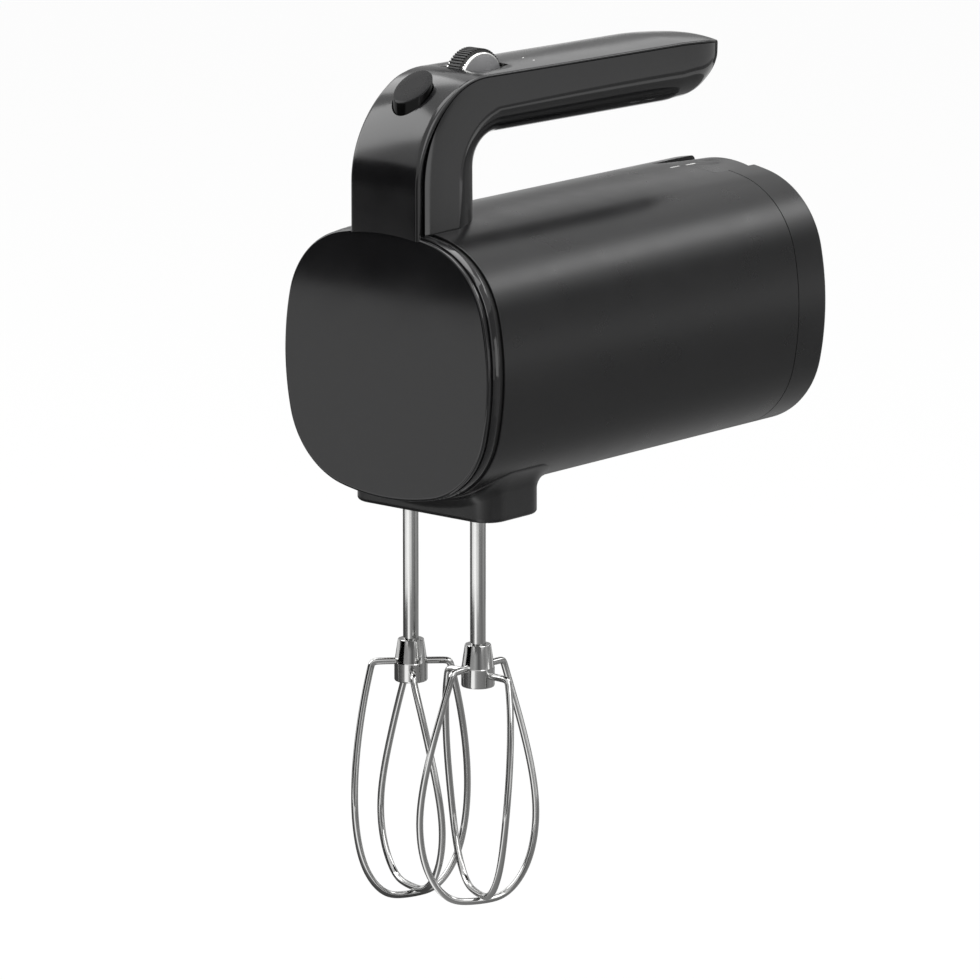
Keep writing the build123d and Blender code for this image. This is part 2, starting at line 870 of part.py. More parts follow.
def battery_case():
    case = rod_y(battery_radius, battery_front, battery_case_end(), 0, 0)
    start = battery_front + cell_start
    for x, z in cell_places():
        case = case - rod_y(cell_radius + run_gap, start, start + cell_length, x, z)
    return case - contact_pads()


def battery_case_end():
    return battery_end - battery_cap_length - battery_ring_length


def battery_cells():
    start = battery_front + cell_start
    return [rod_y(cell_radius, start, start + cell_length, x, z) for x, z in cell_places()]


def battery_ring():
    ring = Circle(battery_radius) - Circle(battery_radius - battery_ring_wall)
    return along_y(ring, battery_case_end(), battery_case_end() + battery_ring_length)


def battery_cap():
    cap = rod_y(battery_radius, battery_end - battery_cap_length, battery_end, 0, 0)
    cap = chamfer(cap.faces().sort_by(Axis.Y)[-1].edges(), battery_edge)
    spigot = battery_radius - battery_ring_wall - seat_gap
    return cap + rod_y(spigot, battery_case_end(), battery_end - battery_cap_length, 0, 0)


# Battery release: its top is flush in front, and falls away to the sides towards the rear
def release_section(y, top, crown):
    half = release_half_width
    low = body_half_height - release_thickness
    arc = ThreePointArc((-half, top - crown), (0, top), (half, top - crown))
    rest = Polyline((half, top - crown), (half, low), (-half, low), (-half, top - crown))
    return Pos(0, y, 0) * (Plane.XZ * make_face(Wire([arc] + rest.edges())))


def release_button():
    flush = body_half_height - release_inset
    body_crown = top_radius() - math.sqrt(top_radius()**2 - release_half_width**2)
    front = release_section(release_start, flush, body_crown)
    rear = release_section(release_end, flush - release_fall, release_crown)
    leg_start = body_length - release_leg_reach
    leg = block((-release_leg_half, release_leg_half), (leg_start, leg_start + release_leg_length),
                (release_leg_bottom, body_half_height - release_thickness / 2))
    dimple_z = flush - dimple_depth + dimple_radius
    dimple = Pos(0, release_end - dimple_setback, dimple_z) * Sphere(dimple_radius)
    return loft([front, rear]) + leg - dimple


# Springs: round turns of half circles, each climbing at a steady rate
def coil(radius, turns, start, end, x, y):
    low = start + spring_wire / 2
    rise = (end - start - spring_wire) / turns
    steps = turns * 2

    def place(step):
        angle = math.pi * step
        return (x + radius * math.cos(angle), y + radius * math.sin(angle), low + rise * step / 2)

    arcs = [ThreePointArc(place(s), place(s + 0.5), place(s + 1)) for s in range(steps)]
    path = Wire(arcs)
    return sweep(Plane(path @ 0, z_dir=path % 0) * Circle(spring_wire / 2), path=path)


def eject_spring():
    return coil(eject_spring_radius, eject_spring_turns, bracket_top, button_bottom, 0, button_y)


def release_spring():
    bay_top = battery_radius + slide_gap + bay_wall
    middle = body_length - release_leg_reach + release_leg_length / 2
    return coil(release_spring_radius, release_spring_turns, bay_top, release_leg_bottom, 0, middle)


# Screws
def rear_cover_screws():
    end = body_length - rear_wall + screw_head
    screws = []
    for x, z in screw_places:
        shank = rod_y(screw_radius, rear_seam - screw_reach, body_length - rear_wall, x, z)
        screws.append(shank + rod_y(screw_head_radius, body_length - rear_wall, end, x, z))
    return screws


def gear_case_screws():
    top = lid_z + lid_thickness
    screws = []
    for x, y in case_screw_places():
        shank = rod_z(screw_radius, lid_z - screw_reach, top, x, y)
        screws.append(shank + rod_z(screw_head_radius, top, top + screw_head, x, y))
    return screws


def handle_screws():
    screws = []
    for y in grip_screw_places:
        seat = under_line(y) + wall + screw_head
        shank = rod_z(screw_radius, seat, top_line(y) - wall - (thread_depth - screw_reach), 0, y)
        screws.append(shank + rod_z(screw_head_radius, seat - screw_head, seat, 0, y))
    return screws


# Whisks
def whisk_lift(side):
    return right_whisk_lift if side > 0 else 0


def whisk_shaft(side):
    x = side * spindle_x
    shaft = rod_z(whisk_shaft_radius, whisk_shaft_end + whisk_lift(side), whisk_top, x, spindle_y)
    shaft = chamfer(shaft.faces().sort_by(Axis.Z)[-1].edges(), shaft_tip_edge)
    cross = Pos(x, spindle_y) * Rot(0, 0, arm_angle(side)) * lug_cross(lug_radius, lug_thickness)
    return shaft + along_z(cross, lug_top - lug_height, lug_top)


def whisk_loop(side, order):
    start_angle = arm_angle(side) + 90 * order
    twist = -side * whisk_twist
    lift = whisk_lift(side)
    level = arm_z + lift - order * loop_step
    bottom = whisk_bottom + lift + order * loop_step
    half = [
        (arm_start, 0, level),
        (arm_reach, 0, level),
        (belly_radius, belly_share, belly_z + lift),
        (whisk_shoulder_radius, 1, bottom + whisk_shoulder),
        (foot_radius, 1, bottom),
    ]
    points = []
    for turn, stations in ((0, half), (180, half[::-1])):
        for radius, share, z in stations:
            angle = math.radians(start_angle + turn + twist * share)
            x = side * spindle_x + radius * math.cos(angle)
            y = spindle_y + radius * math.sin(angle)
            points.append((x, y, z))
    bends = [arm_bend, belly_bend, shoulder_bend, foot_bend]
    path = FilletPolyline(*points, radius=bends + bends[::-1])
    return sweep(Plane(path @ 0, z_dir=path % 0) * Circle(wire_radius), path=path)


def whisk_hub(side):
    points = [
        (0, hub_bottom),
        (hub_radius - hub_edge, hub_bottom),
        (hub_radius, hub_bottom + hub_edge),
        (hub_radius, hub_top - hub_cone),
        (hub_neck_radius, hub_top),
        (0, hub_top),
    ]
    hub = revolve(Plane.XZ * make_face(Polyline(*points, close=True)), Axis.Z)
    lift = whisk_lift(side)
    hub = Pos(side * spindle_x, spindle_y, lift) * hub
    hub = hub - rod_z(whisk_shaft_radius, whisk_shaft_end + lift, hub_top + lift, side * spindle_x, spindle_y)
    return hub - whisk_loop(side, 0) - whisk_loop(side, 1)


def all_pieces():
    pieces = {
        "front_plate": front_plate(),
        "front_bezel": front_bezel(),
        "main_housing": main_housing(),
        "rear_cover": rear_cover(),
        "handle_outer_shell": handle_outer_shell(),
        "handle_inner_shell": handle_inner_shell(),
        "handle_bracket": handle_bracket(),
        "spindle_boss": spindle_boss(),
        "lower_bushes": bush_pair(boss_bottom, lower_bush_height),
        "upper_bushes": bush_pair(lid_z, upper_bush_height),
        "gear_case": gear_case(),
        "gear_case_lid": gear_case_lid(),
        "worm_bearing": worm_bearing(),
        "motor_can": motor_can(),
        "motor_end_cap": motor_end_cap(),
        "motor_magnets": motor_magnets(),
        "motor_cradle": motor_cradle(),
        "motor_shaft": motor_shaft(),
        "rotor_core": rotor_core(),
        "commutator": commutator(),
        "worm": worm(),
        "control_board": control_board(),
        "board_parts": board_parts(),
        "battery_bay": battery_bay(),
        "battery_terminals": battery_terminals(),
        "battery_case": battery_case(),
        "battery_cells": battery_cells(),
        "battery_contacts": contact_pads(),
        "battery_ring": battery_ring(),
        "battery_cap": battery_cap(),
        "release_button": release_button(),
        "release_spring": release_spring(),
        "eject_button": eject_button(),
        "eject_rod": eject_rod(),
        "ejector_yoke": ejector_yoke(),
        "eject_spring": eject_spring(),
        "speed_dial": speed_dial(),
        "dial_rings": dial_rings(),
        "dial_caps": dial_caps(),
        "dial_axle": dial_axle(),
        "speed_sensor": speed_sensor(),
        "rear_cover_screws": rear_cover_screws(),
        "gear_case_screws": gear_case_screws(),
        "handle_screws": handle_screws(),
    }
    for name, side in (("left", -1), ("right", 1)):
        pieces[name + "_spindle"] = spindle(side)
        pieces[name + "_worm_wheel"] = worm_wheel(side)
        pieces[name + "_eject_pin"] = eject_pin(side)
        pieces[name + "_whisk_shaft"] = whisk_shaft(side)
        pieces[name + "_whisk_hub"] = whisk_hub(side)
        pieces[name + "_whisk_loop_a"] = whisk_loop(side, 0)
        pieces[name + "_whisk_loop_b"] = whisk_loop(side, 1)
    return pieces


os.makedirs("parts", exist_ok=True)
to_grip = Pos(0, -grip_centre_y, -grip_centre_z)
for node, shape in all_pieces().items():
    solids = shape if isinstance(shape, list) else [shape]
    solids = [solid for piece in solids for solid in piece.solids()]
    export_step(to_grip * Compound(solids), f"parts/{node}.step")
print("grip centre", grip_centre_y, round(grip_centre_z, 3))
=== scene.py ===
import json
import math

import bmesh
import bpy
from mathutils import Matrix, Vector


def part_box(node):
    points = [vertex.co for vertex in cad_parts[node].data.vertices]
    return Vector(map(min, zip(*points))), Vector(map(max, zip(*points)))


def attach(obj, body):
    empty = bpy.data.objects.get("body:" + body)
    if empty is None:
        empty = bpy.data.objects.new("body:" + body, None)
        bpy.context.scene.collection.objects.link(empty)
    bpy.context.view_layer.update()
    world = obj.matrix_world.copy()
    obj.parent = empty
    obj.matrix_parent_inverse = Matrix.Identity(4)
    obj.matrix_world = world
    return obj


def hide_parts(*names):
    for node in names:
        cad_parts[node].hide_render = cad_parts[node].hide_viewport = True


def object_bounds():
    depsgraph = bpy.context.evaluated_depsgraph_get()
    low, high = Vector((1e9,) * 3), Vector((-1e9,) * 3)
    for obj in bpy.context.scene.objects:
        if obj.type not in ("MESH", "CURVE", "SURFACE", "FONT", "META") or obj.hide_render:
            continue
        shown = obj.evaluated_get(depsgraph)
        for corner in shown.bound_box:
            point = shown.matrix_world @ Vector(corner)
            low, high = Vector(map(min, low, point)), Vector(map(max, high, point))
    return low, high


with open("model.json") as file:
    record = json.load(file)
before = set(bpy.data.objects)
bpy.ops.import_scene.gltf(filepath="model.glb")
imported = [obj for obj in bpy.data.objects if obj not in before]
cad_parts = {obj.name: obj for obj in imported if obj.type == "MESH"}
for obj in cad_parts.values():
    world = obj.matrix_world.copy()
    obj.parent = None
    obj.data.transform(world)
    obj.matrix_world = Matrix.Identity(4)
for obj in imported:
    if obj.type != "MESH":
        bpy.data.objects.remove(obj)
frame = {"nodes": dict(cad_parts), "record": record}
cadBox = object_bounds()
scene = bpy.context.scene
nodes = frame["nodes"]
print("frame loaded:", len(nodes), "nodes")

# Places are in millimetres: right of the middle, back from the front, above the body's axis;
# the frame's origin is the middle of the grip
mm = 0.001
gripMiddle = (0.0, 110.0, 91.38)
plateLow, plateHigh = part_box("front_plate")


def at(x, y, z):
    return Vector([(value - middle) * mm for value, middle in zip((x, y, z), gripMiddle)])


def between(low, high, share):
    return low + (high - low) * share


# Shader helpers
def linear(hexCode):                          # sRGB hex to linear colour
    values = [int(hexCode[i:i + 2], 16) / 255 for i in (1, 3, 5)]
    return [v / 12.92 if v <= 0.04045 else ((v + 0.055) / 1.055) ** 2.4 for v in values] + [1.0]


def addNode(tree, kind, settings=None, links=None):
    node = tree.nodes.new(kind)
    for name, value in (settings or {}).items():
        if isinstance(name, int) or name in node.inputs:
            node.inputs[name].default_value = value
        else:
            setattr(node, name, value)
    for name, socket in (links or {}).items():
        tree.links.new(socket, node.inputs[name])
    return node


def newMaterial(name):
    material = bpy.data.materials.new(name)
    material.use_nodes = True
    return material, material.node_tree, material.node_tree.nodes["Principled BSDF"]


noiseRange = (0.3, 0.7)                       # most of a noise pattern lies between these


def linkSurface(tree, shader, look, cloud, gloss, relief, depth):    # patterns to colour, gloss and relief
    dark, light, (low, high) = linear(look["dark"]), linear(look["light"]), noiseRange
    tone = addNode(tree, "ShaderNodeMixRGB", {"Color1": dark, "Color2": light}, {"Fac": cloud.outputs["Fac"]})
    rough = addNode(tree, "ShaderNodeMapRange",
                    {"From Min": low, "From Max": high, "To Min": look["smooth"], "To Max": look["rough"]},
                    {"Value": gloss.outputs["Fac"]})
    bump = addNode(tree, "ShaderNodeBump", {"Strength": look["bump"], "Distance": depth * mm},
                   {"Height": relief.outputs["Fac"]})
    tree.links.new(tone.outputs["Color"], shader.inputs["Base Color"])
    tree.links.new(rough.outputs["Result"], shader.inputs["Roughness"])
    tree.links.new(bump.outputs["Normal"], shader.inputs["Normal"])


# Moulded plastic: an even skin with fine grit from the mould, so its gloss breaks up softly;
# the grit is drawn coarser than life, so that it shows
def mouldedPlastic(name, look):
    material, tree, shader = newMaterial(name)
    place = addNode(tree, "ShaderNodeTexCoord").outputs["Object"]
    grit, cloud = [addNode(tree, "ShaderNodeTexNoise", {"Scale": 1 / (look[size] * mm), "Detail": detail},
                           {"Vector": place}) for size, detail in (("grit", 2.0), ("cloud", 3.0))]
    linkSurface(tree, shader, look, cloud, cloud, grit, 0.03)
    shader.inputs["IOR"].default_value = look.get("ior", 1.5)
    return material


# Drawn or turned metal: fine lines along one axis, from the die or the tool, also coarser than life
def drawnMetal(name, look):
    material, tree, shader = newMaterial(name)
    place = addNode(tree, "ShaderNodeTexCoord").outputs["Object"]
    stretch = addNode(tree, "ShaderNodeMapping", {"Scale": look["stretch"]}, {"Vector": place})
    lines = addNode(tree, "ShaderNodeTexNoise", {"Scale": 1 / (look["line"] * mm), "Detail": 3.0},
                    {"Vector": stretch.outputs["Vector"]})
    cloud = addNode(tree, "ShaderNodeTexNoise", {"Scale": 1 / (look["cloud"] * mm), "Detail": 2.0},
                    {"Vector": place})
    linkSurface(tree, shader, look, cloud, lines, lines, 0.01)
    shader.inputs["Metallic"].default_value = 1.0
    return material


satinAbs = mouldedPlastic("satinAbs", {          # charcoal ABS, spark-eroded mould: broad soft highlights
    "dark": "#0f0f10", "light": "#121213", "grit": 0.45, "cloud": 14.0, "smooth": 0.27, "rough": 0.31,
    "bump": 0.1, "ior": 1.43})
plateAbs = mouldedPlastic("plateAbs", {          # front plate: polished mould, a clear soft-edged reflection
    "dark": "#131314", "light": "#151516", "grit": 0.35, "cloud": 22.0, "smooth": 0.05, "rough": 0.07,
    "bump": 0.006})
handleAbs = mouldedPlastic("handleAbs", {        # top of the handle: semi-gloss, shows soft window shapes
    "dark": "#0f0f10", "light": "#121213", "grit": 0.35, "cloud": 16.0, "smooth": 0.14, "rough": 0.18,
    "bump": 0.012})
glossAbs = mouldedPlastic("glossAbs", {          # grip side: polished mould, sharp dark reflections
    "dark": "#0c0c0d", "light": "#0f0f10", "grit": 0.3, "cloud": 18.0, "smooth": 0.08, "rough": 0.12,
    "bump": 0.01})
bossNylon = mouldedPlastic("bossNylon", {        # glass-filled nylon: black, satin
    "dark": "#0e0e0f", "light": "#121213", "grit": 0.4, "cloud": 9.0, "smooth": 0.28, "rough": 0.31,
    "bump": 0.1})
grooveBlack = mouldedPlastic("grooveBlack", {    # shadow ring, drinks up the light
    "dark": "#050505", "light": "#080808", "grit": 0.4, "cloud": 9.0, "smooth": 0.5, "rough": 0.6,
    "bump": 0.1})
buttonAbs = mouldedPlastic("buttonAbs", {        # pressed face of a button, satin
    "dark": "#0e0e0f", "light": "#111112", "grit": 0.3, "cloud": 7.0, "smooth": 0.24, "rough": 0.3,
    "bump": 0.06, "ior": 1.25})
plugGapShade = mouldedPlastic("plugGapShade", {            # its sides, polished by sliding: thin streaks on near black; the near black and weak reflection are painted shade for the gap round the button
    "dark": "#070707", "light": "#0a0a0a", "grit": 0.3, "cloud": 7.0, "smooth": 0.12, "rough": 0.16,
    "bump": 0.01, "ior": 1.22})
dialRubber = mouldedPlastic("dialRubber", {      # soft-touch tread
    "dark": "#0c0c0c", "light": "#111111", "grit": 0.25, "cloud": 5.0, "smooth": 0.5, "rough": 0.6,
    "bump": 0.2})
dialCapPaintedSheen = mouldedPlastic("dialCapPaintedSheen", {          # smooth cap beside the tread: its mid grey is a painted reflection of the bright sky
    "dark": "#6f6f70", "light": "#7c7c7d", "grit": 0.3, "cloud": 8.0, "smooth": 0.24, "rough": 0.3,
    "bump": 0.04})
markWhite = mouldedPlastic("markWhite", {        # printed marks
    "dark": "#d8d8d6", "light": "#e4e4e2", "grit": 0.2, "cloud": 3.0, "smooth": 0.4, "rough": 0.5,
    "bump": 0.05})
caseAbs = mouldedPlastic("caseAbs", {            # battery case: mid grey, matt from a coarse mould
    "dark": "#39393b", "light": "#424244", "grit": 0.5, "cloud": 12.0, "smooth": 0.4, "rough": 0.5,
    "bump": 0.2})
naturalNylon = mouldedPlastic("naturalNylon", {  # inner frames, unpainted
    "dark": "#8f8d86", "light": "#a3a199", "grit": 0.4, "cloud": 12.0, "smooth": 0.42, "rough": 0.52,
    "bump": 0.15})
boardGreen = mouldedPlastic("boardGreen", {      # coated laminate
    "dark": "#17452a", "light": "#1f5733", "grit": 0.3, "cloud": 6.0, "smooth": 0.22, "rough": 0.34,
    "bump": 0.1})
epoxyBlack = mouldedPlastic("epoxyBlack", {      # moulded electronic parts
    "dark": "#161617", "light": "#1d1d1e", "grit": 0.2, "cloud": 4.0, "smooth": 0.45, "rough": 0.55,
    "bump": 0.2})
cellWrap = mouldedPlastic("cellWrap", {          # shrink sleeve round the cells
    "dark": "#27507c", "light": "#2f5c8c", "grit": 0.3, "cloud": 9.0, "smooth": 0.2, "rough": 0.3,
    "bump": 0.05})
ferrite = mouldedPlastic("ferrite", {            # sintered magnet, dull dark grey
    "dark": "#343436", "light": "#414144", "grit": 0.25, "cloud": 4.0, "smooth": 0.6, "rough": 0.75,
    "bump": 0.35})
polishedSteel = drawnMetal("polishedSteel", {    # stainless, drawn and polished: bright, with faint lines
    "dark": "#b4b4b3", "light": "#c2c2c1", "stretch": (1, 1, 0.03), "line": 0.25, "cloud": 12.0,
    "smooth": 0.07, "rough": 0.11, "bump": 0.01})
turnedSteel = drawnMetal("turnedSteel", {        # machined steel with turning marks
    "dark": "#8d8d8c", "light": "#a5a5a3", "stretch": (0.05, 1, 1), "line": 0.3, "cloud": 5.0,
    "smooth": 0.25, "rough": 0.42, "bump": 0.25})
brightChrome = drawnMetal("brightChrome", {      # plated trim
    "dark": "#dadad8", "light": "#e6e6e4", "stretch": (1, 1, 1), "line": 0.8, "cloud": 6.0,
    "smooth": 0.1, "rough": 0.16, "bump": 0.02})
sinteredBronze = drawnMetal("sinteredBronze", {  # oil-filled bearing bronze, slightly grainy
    "dark": "#8a6235", "light": "#a67c46", "stretch": (1, 1, 1), "line": 0.3, "cloud": 4.0,
    "smooth": 0.3, "rough": 0.5, "bump": 0.3})

slotFinish = {
    "housing_plastic": satinAbs, "plate_plastic": plateAbs, "gloss_plastic": glossAbs,
    "handle_plastic": handleAbs, "boss_plastic": bossNylon, "inner_plastic": naturalNylon,
    "dial_rubber": dialRubber, "dial_plastic": dialCapPaintedSheen, "bright_trim": brightChrome,
    "whisk_steel": polishedSteel, "machined_steel": turnedSteel, "bronze": sinteredBronze,
    "ferrite": ferrite, "circuit_board": boardGreen, "circuit_parts": epoxyBlack, "cell_wrap": cellWrap,
}
for entry in frame["record"]["subparts"]:
    finishes = nodes[entry["node"]].data.materials
    finishes.clear()
    finishes.append(slotFinish[entry["material_slot"]])
print("finishes:", len(bpy.data.materials))


# Mesh helpers
def newPiece(name, points, faces, material, smoothAngle=35, closed=True):
    mesh = bpy.data.meshes.new(name)
    mesh.from_pydata(points, [], faces)
    piece = bpy.data.objects.new(name, mesh)
    scene.collection.objects.link(piece)
    mesh.materials.append(material)
    shape = bmesh.new()
    shape.from_mesh(mesh)
    bmesh.ops.remove_doubles(shape, verts=shape.verts, dist=0.002 * mm)
    bmesh.ops.delete(shape, geom=[v for v in shape.verts if not v.link_faces], context="VERTS")
    if closed:
        bmesh.ops.recalc_face_normals(shape, faces=shape.faces)
    shape.to_mesh(mesh)
    shape.free()
    shadeSmooth(mesh, smoothAngle)
    return piece


def shadeSmooth(mesh, angle):
    mesh.shade_smooth()
    mesh.set_sharp_from_angle(angle=math.radians(angle))


# Faces between rings of points; the rings run anticlockwise about the way they go
def skin(rings, loop=True, caps=(False, False), skip=()):
    count = len(rings[0])
    faces = []
    for r in range(len(rings) - 1):
        for c in range(count if loop else count - 1):
            if (r, c) in skip:
                continue
            d = (c + 1) % count
            faces.append((r * count + c, (r + 1) * count + c, (r + 1) * count + d, r * count + d))
    if caps[0]:
        faces.append(tuple(range(count)))
    if caps[1]:
        last = (len(rings) - 1) * count
        faces.append(tuple(range(last + count - 1, last - 1, -1)))
    return [point for ring in rings for point in ring], faces


def addModifier(piece, kind, **settings):
    modifier = piece.modifiers.new(kind.title(), kind)
    for name, value in settings.items():
        setattr(modifier, name, value)
    return modifier


def applyModifiers(piece):
    made = bpy.data.meshes.new_from_object(piece.evaluated_get(bpy.context.evaluated_depsgraph_get()))
    piece.modifiers.clear()
    old = piece.data
    piece.data = made
    made.name = old.name
    return piece


def softEdges(piece, width):                  # small round edges, with flat faces kept flat to the light
    addModifier(piece, "BEVEL", width=width * mm, segments=3, limit_method="ANGLE",
                angle_limit=math.radians(40))
    applyModifiers(piece)
    evenShading(piece)


def evenShading(piece, angle=35):
    shadeSmooth(piece.data, angle)
    addModifier(piece, "WEIGHTED_NORMAL", keep_sharp=True)
    applyModifiers(piece)


def setPiece(piece, body, slot, *stoodFor):
    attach(piece, body)
    if stoodFor:
        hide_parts(*stoodFor)


def roundAngles(steps):
    return [2 * math.pi * i / steps for i in range(steps)]


# A turned form about an upright axis; the profile runs from top to bottom as (radius, height)
def turned(name, profile, x, y, material, steps=64, smoothAngle=35):
    rings = [[at(x + radius * math.cos(a), y + radius * math.sin(a), z) for a in roundAngles(steps)]
             for radius, z in profile]
    return newPiece(name, *skin(rings, caps=(True, True)), material, smoothAngle)


def turnedAlong(name, profile, x, z, material, steps=64, smoothAngle=35):    # the same, from front to back
    rings = [[at(x + radius * math.cos(a), y, z + radius * math.sin(a)) for a in roundAngles(steps)]
             for radius, y in profile]
    return newPiece(name, *skin(rings, caps=(True, True)), material, smoothAngle)


def cutAway(piece, cutter):
    addModifier(piece, "BOOLEAN", object=cutter, operation="DIFFERENCE", solver="EXACT")
    applyModifiers(piece)
    bpy.data.objects.remove(cutter)


def arcPoints(cx, cy, radius, start, end, steps):
    angles = [math.radians(between(start, end, i / steps)) for i in range(steps + 1)]
    return [(cx + radius * math.cos(a), cy + radius * math.sin(a)) for a in angles]


# Body: a square with bowed sides and large round corners
body = {"corner": 34.0, "bow": 1.6, "cornerSteps": 24, "sideSteps": 10, "wall": 2.4, "edge": 0.25,
        "housingStart": 7.1, "rings": (30, 80, 130), "seam": 178.0, "seamGap": 0.22, "length": 195.4,
        "rearLand": 4.0, "rearEdge": 2.0, "notchHalf": 15.15, "notchStart": 170.15, "notchDepth": 8.6,
        "batteryHole": 24.85, "holeDepth": 3.0}
halfWidth = (plateHigh.x - plateLow.x) / 2 / mm
halfHeight = (plateHigh.z - plateLow.z) / 2 / mm
reachX = halfWidth - body["corner"] - body["bow"]
reachZ = halfHeight - body["corner"] - body["bow"]
sideRadius = body["corner"] + body["bow"] / 2 + reachZ ** 2 / (2 * body["bow"])
topRadius = body["corner"] + body["bow"] / 2 + reachX ** 2 / (2 * body["bow"])


def quarterOutline(inset):
    sideEnd = math.degrees(math.atan2(reachZ, reachX - halfWidth + sideRadius))
    topStart = math.degrees(math.atan2(reachZ - halfHeight + topRadius, reachX))
    notchAngle = math.degrees(math.acos(body["notchHalf"] / topRadius))
    arcs = [
        arcPoints(halfWidth - sideRadius, 0, sideRadius - inset, 0, sideEnd, body["sideSteps"]),
        arcPoints(reachX, reachZ, body["corner"] - inset, sideEnd, topStart, body["cornerSteps"]),
        arcPoints(0, halfHeight - topRadius, topRadius - inset, topStart, notchAngle, 3),
        arcPoints(0, halfHeight - topRadius, topRadius - inset, notchAngle, 90, 7),
    ]
    return arcs[0] + arcs[1][1:] + arcs[2][1:] + arcs[3][1:]


def outline(inset=0.0):
    quarter = quarterOutline(inset)
    right = quarter[:-1]
    left = [(-x, z) for x, z in quarter[::-1]][:-1]
    top = right + left
    return top + [(-x, -z) for x, z in top]


def bodyRing(inset, y):
    return [at(x, y, z) for x, z in outline(inset)]


def bodyHeight(x):                            # of the body's top above its axis
    if abs(x) < topRadius * reachX / math.hypot(reachX, reachZ - halfHeight + topRadius):
        return halfHeight - topRadius + math.sqrt(topRadius ** 2 - x ** 2)
    return reachZ + math.sqrt(body["corner"] ** 2 - (abs(x) - reachX) ** 2)


around = outline()
notchColumns = [c for c, ((xA, zA), (xB, zB)) in enumerate(zip(around, around[1:] + around[:1]))
                if min(zA, zB) > 0 and max(abs(xA), abs(xB)) < body["notchHalf"] + 0.01]

# Screws: four in the corners behind, two under the grip, their heads sunk in holes
screw = {"post": 28.0, "hole": 3.1, "head": 3.0, "height": 2.2, "shank": 1.5, "slot": (3.6, 0.7),
         "edge": 0.12, "rearY": 193.5, "rearShank": 25.4, "gripY": (80.0, 150.0), "gripSink": 3.5,
         "gripShank": 16.8}
diagonal = screw["post"] * math.sqrt(0.5)
screwPlaces = [(sx * (reachX + diagonal), sz * (reachZ + diagonal)) for sx in (1, -1) for sz in (1, -1)]

# Front plate: flat face, small round edge, a step, then a band that widens to the body's size
plate = {"front": -1.5, "flat": 1.5, "face": 4.0, "lip": 0.4, "edge": 0.8, "soft": 0.12, "sideEnd": -0.1,
         "stepInset": 1.3, "bandStart": 1.3, "bandInset": 0.62, "bandEnd": 0.35, "rearInset": 0.16,
         "rearLip": 0.22, "depth": 4.6, "wall": 2.4, "draft": 0.1, "thickness": 3.0}
groove = {"inset": 1.0, "depth": 2.0, "lap": 0.1}


def frontPlate():
    front, flat, edge, step, soft = [plate[size] for size in ("front", "flat", "edge", "stepInset", "soft")]
    start, band, rear, depth = [plate[size] for size in ("bandStart", "bandInset", "rearInset", "depth")]
    profile = [(flat + plate["face"], front), (flat + plate["lip"], front)]
    profile += arcPoints(flat, front + edge, edge, -90, -180, 6)
    profile += [(flat - edge, plate["sideEnd"]), (step, plate["sideEnd"] + soft), (step, start - soft / 2),
                (band + soft, start), (band, start + soft)]
    for i in range(1, 6):                     # slightly convex band
        share = i / 5
        profile.append((between(band, rear, 1 - (1 - share) ** 1.6),
                        between(start + soft, depth - plate["bandEnd"], share)))
    profile += [(rear + soft / 2, depth - soft), (rear + plate["rearLip"], depth), (plate["wall"], depth),
                (plate["wall"] + plate["draft"], plate["thickness"])]
    rings = [bodyRing(inset, y) for inset, y in profile]
    piece = newPiece("frontPlate", *skin(rings, caps=(True, True)), plateAbs, 32)
    setPiece(piece, "mixer_body", "plate_plastic", "front_plate")


def grooveRing():
    front, rear = plate["depth"] - groove["lap"], body["housingStart"] + groove["lap"]
    outer, inner = groove["inset"], groove["inset"] + groove["depth"]
    profile = [(inner, front), (outer, front), (outer, rear), (inner, rear), (inner, front)]
    rings = [bodyRing(inset, y) for inset, y in profile]
    piece = newPiece("grooveRing", *skin(rings), grooveBlack)
    setPiece(piece, "mixer_body", "gloss_plastic", "front_bezel")


def thickShell(piece, wall, edge):
    addModifier(piece, "SOLIDIFY", thickness=wall * mm, offset=-1)
    softEdges(piece, edge)


def mainHousing():
    end = body["seam"] - body["seamGap"] / 2
    stations = [body["housingStart"], *body["rings"], body["notchStart"], end]
    rings = [bodyRing(0, y) for y in stations]
    skip = [(len(stations) - 2, c) for c in notchColumns]
    piece = newPiece("mainHousing", *skin(rings, skip=skip), satinAbs, closed=False)
    thickShell(piece, body["wall"], body["edge"])
    setPiece(piece, "mixer_body", "housing_plastic", "main_housing")


def rearCover():
    start, end, edge = body["seam"] + body["seamGap"] / 2, body["length"], body["rearEdge"]
    profile = [(0, start), (0, start + body["rearLand"])] + arcPoints(edge, end - edge, edge, 180, 90, 6)
    profile += [(body["notchDepth"], end)]
    skip = [(r, c) for r in range(len(profile) - 1) for c in notchColumns]
    rings = [bodyRing(inset, y) for inset, y in profile]
    bore = body["batteryHole"]
    angles = [math.atan2(z, x) for x, z in outline(body["notchDepth"])]
    for y in (end, end - body["holeDepth"]):
        rings.append([at(bore * math.cos(a), y, bore * math.sin(a)) for a in angles])
    piece = newPiece("rearCover", *skin(rings, skip=skip), satinAbs, closed=False)
    thickShell(piece, body["wall"], body["edge"])
    drilled = [(screw["hole"], end - 2 * body["wall"]), (screw["hole"], end + 1)]
    for x, z in screwPlaces:
        cutAway(piece, turnedAlong("screwCutter", drilled, x, z, satinAbs, 48))
    evenShading(piece)
    setPiece(piece, "mixer_body", "housing_plastic", "rear_cover")


frontPlate()
grooveRing()
mainHousing()
rearCover()
print("body built")

# Battery release: a tongue that is flush in front and falls away to the sides at the rear
release = {"half": 14.8, "start": 170.5, "end": 195.1, "thickness": 6.0, "inset": 0.2, "fall": 0.4,
           "crown": 2.6, "dimpleAt": 184.4, "dimpleRadius": 30.0, "dimpleDepth": 0.9, "columns": 34,
           "rows": 30, "edge": 0.4}
marks = {"halfWidth": 0.45, "length": 5.2, "thickness": 0.06, "housingStart": 162.2, "tongueStart": 171.7,
         "steps": 6}


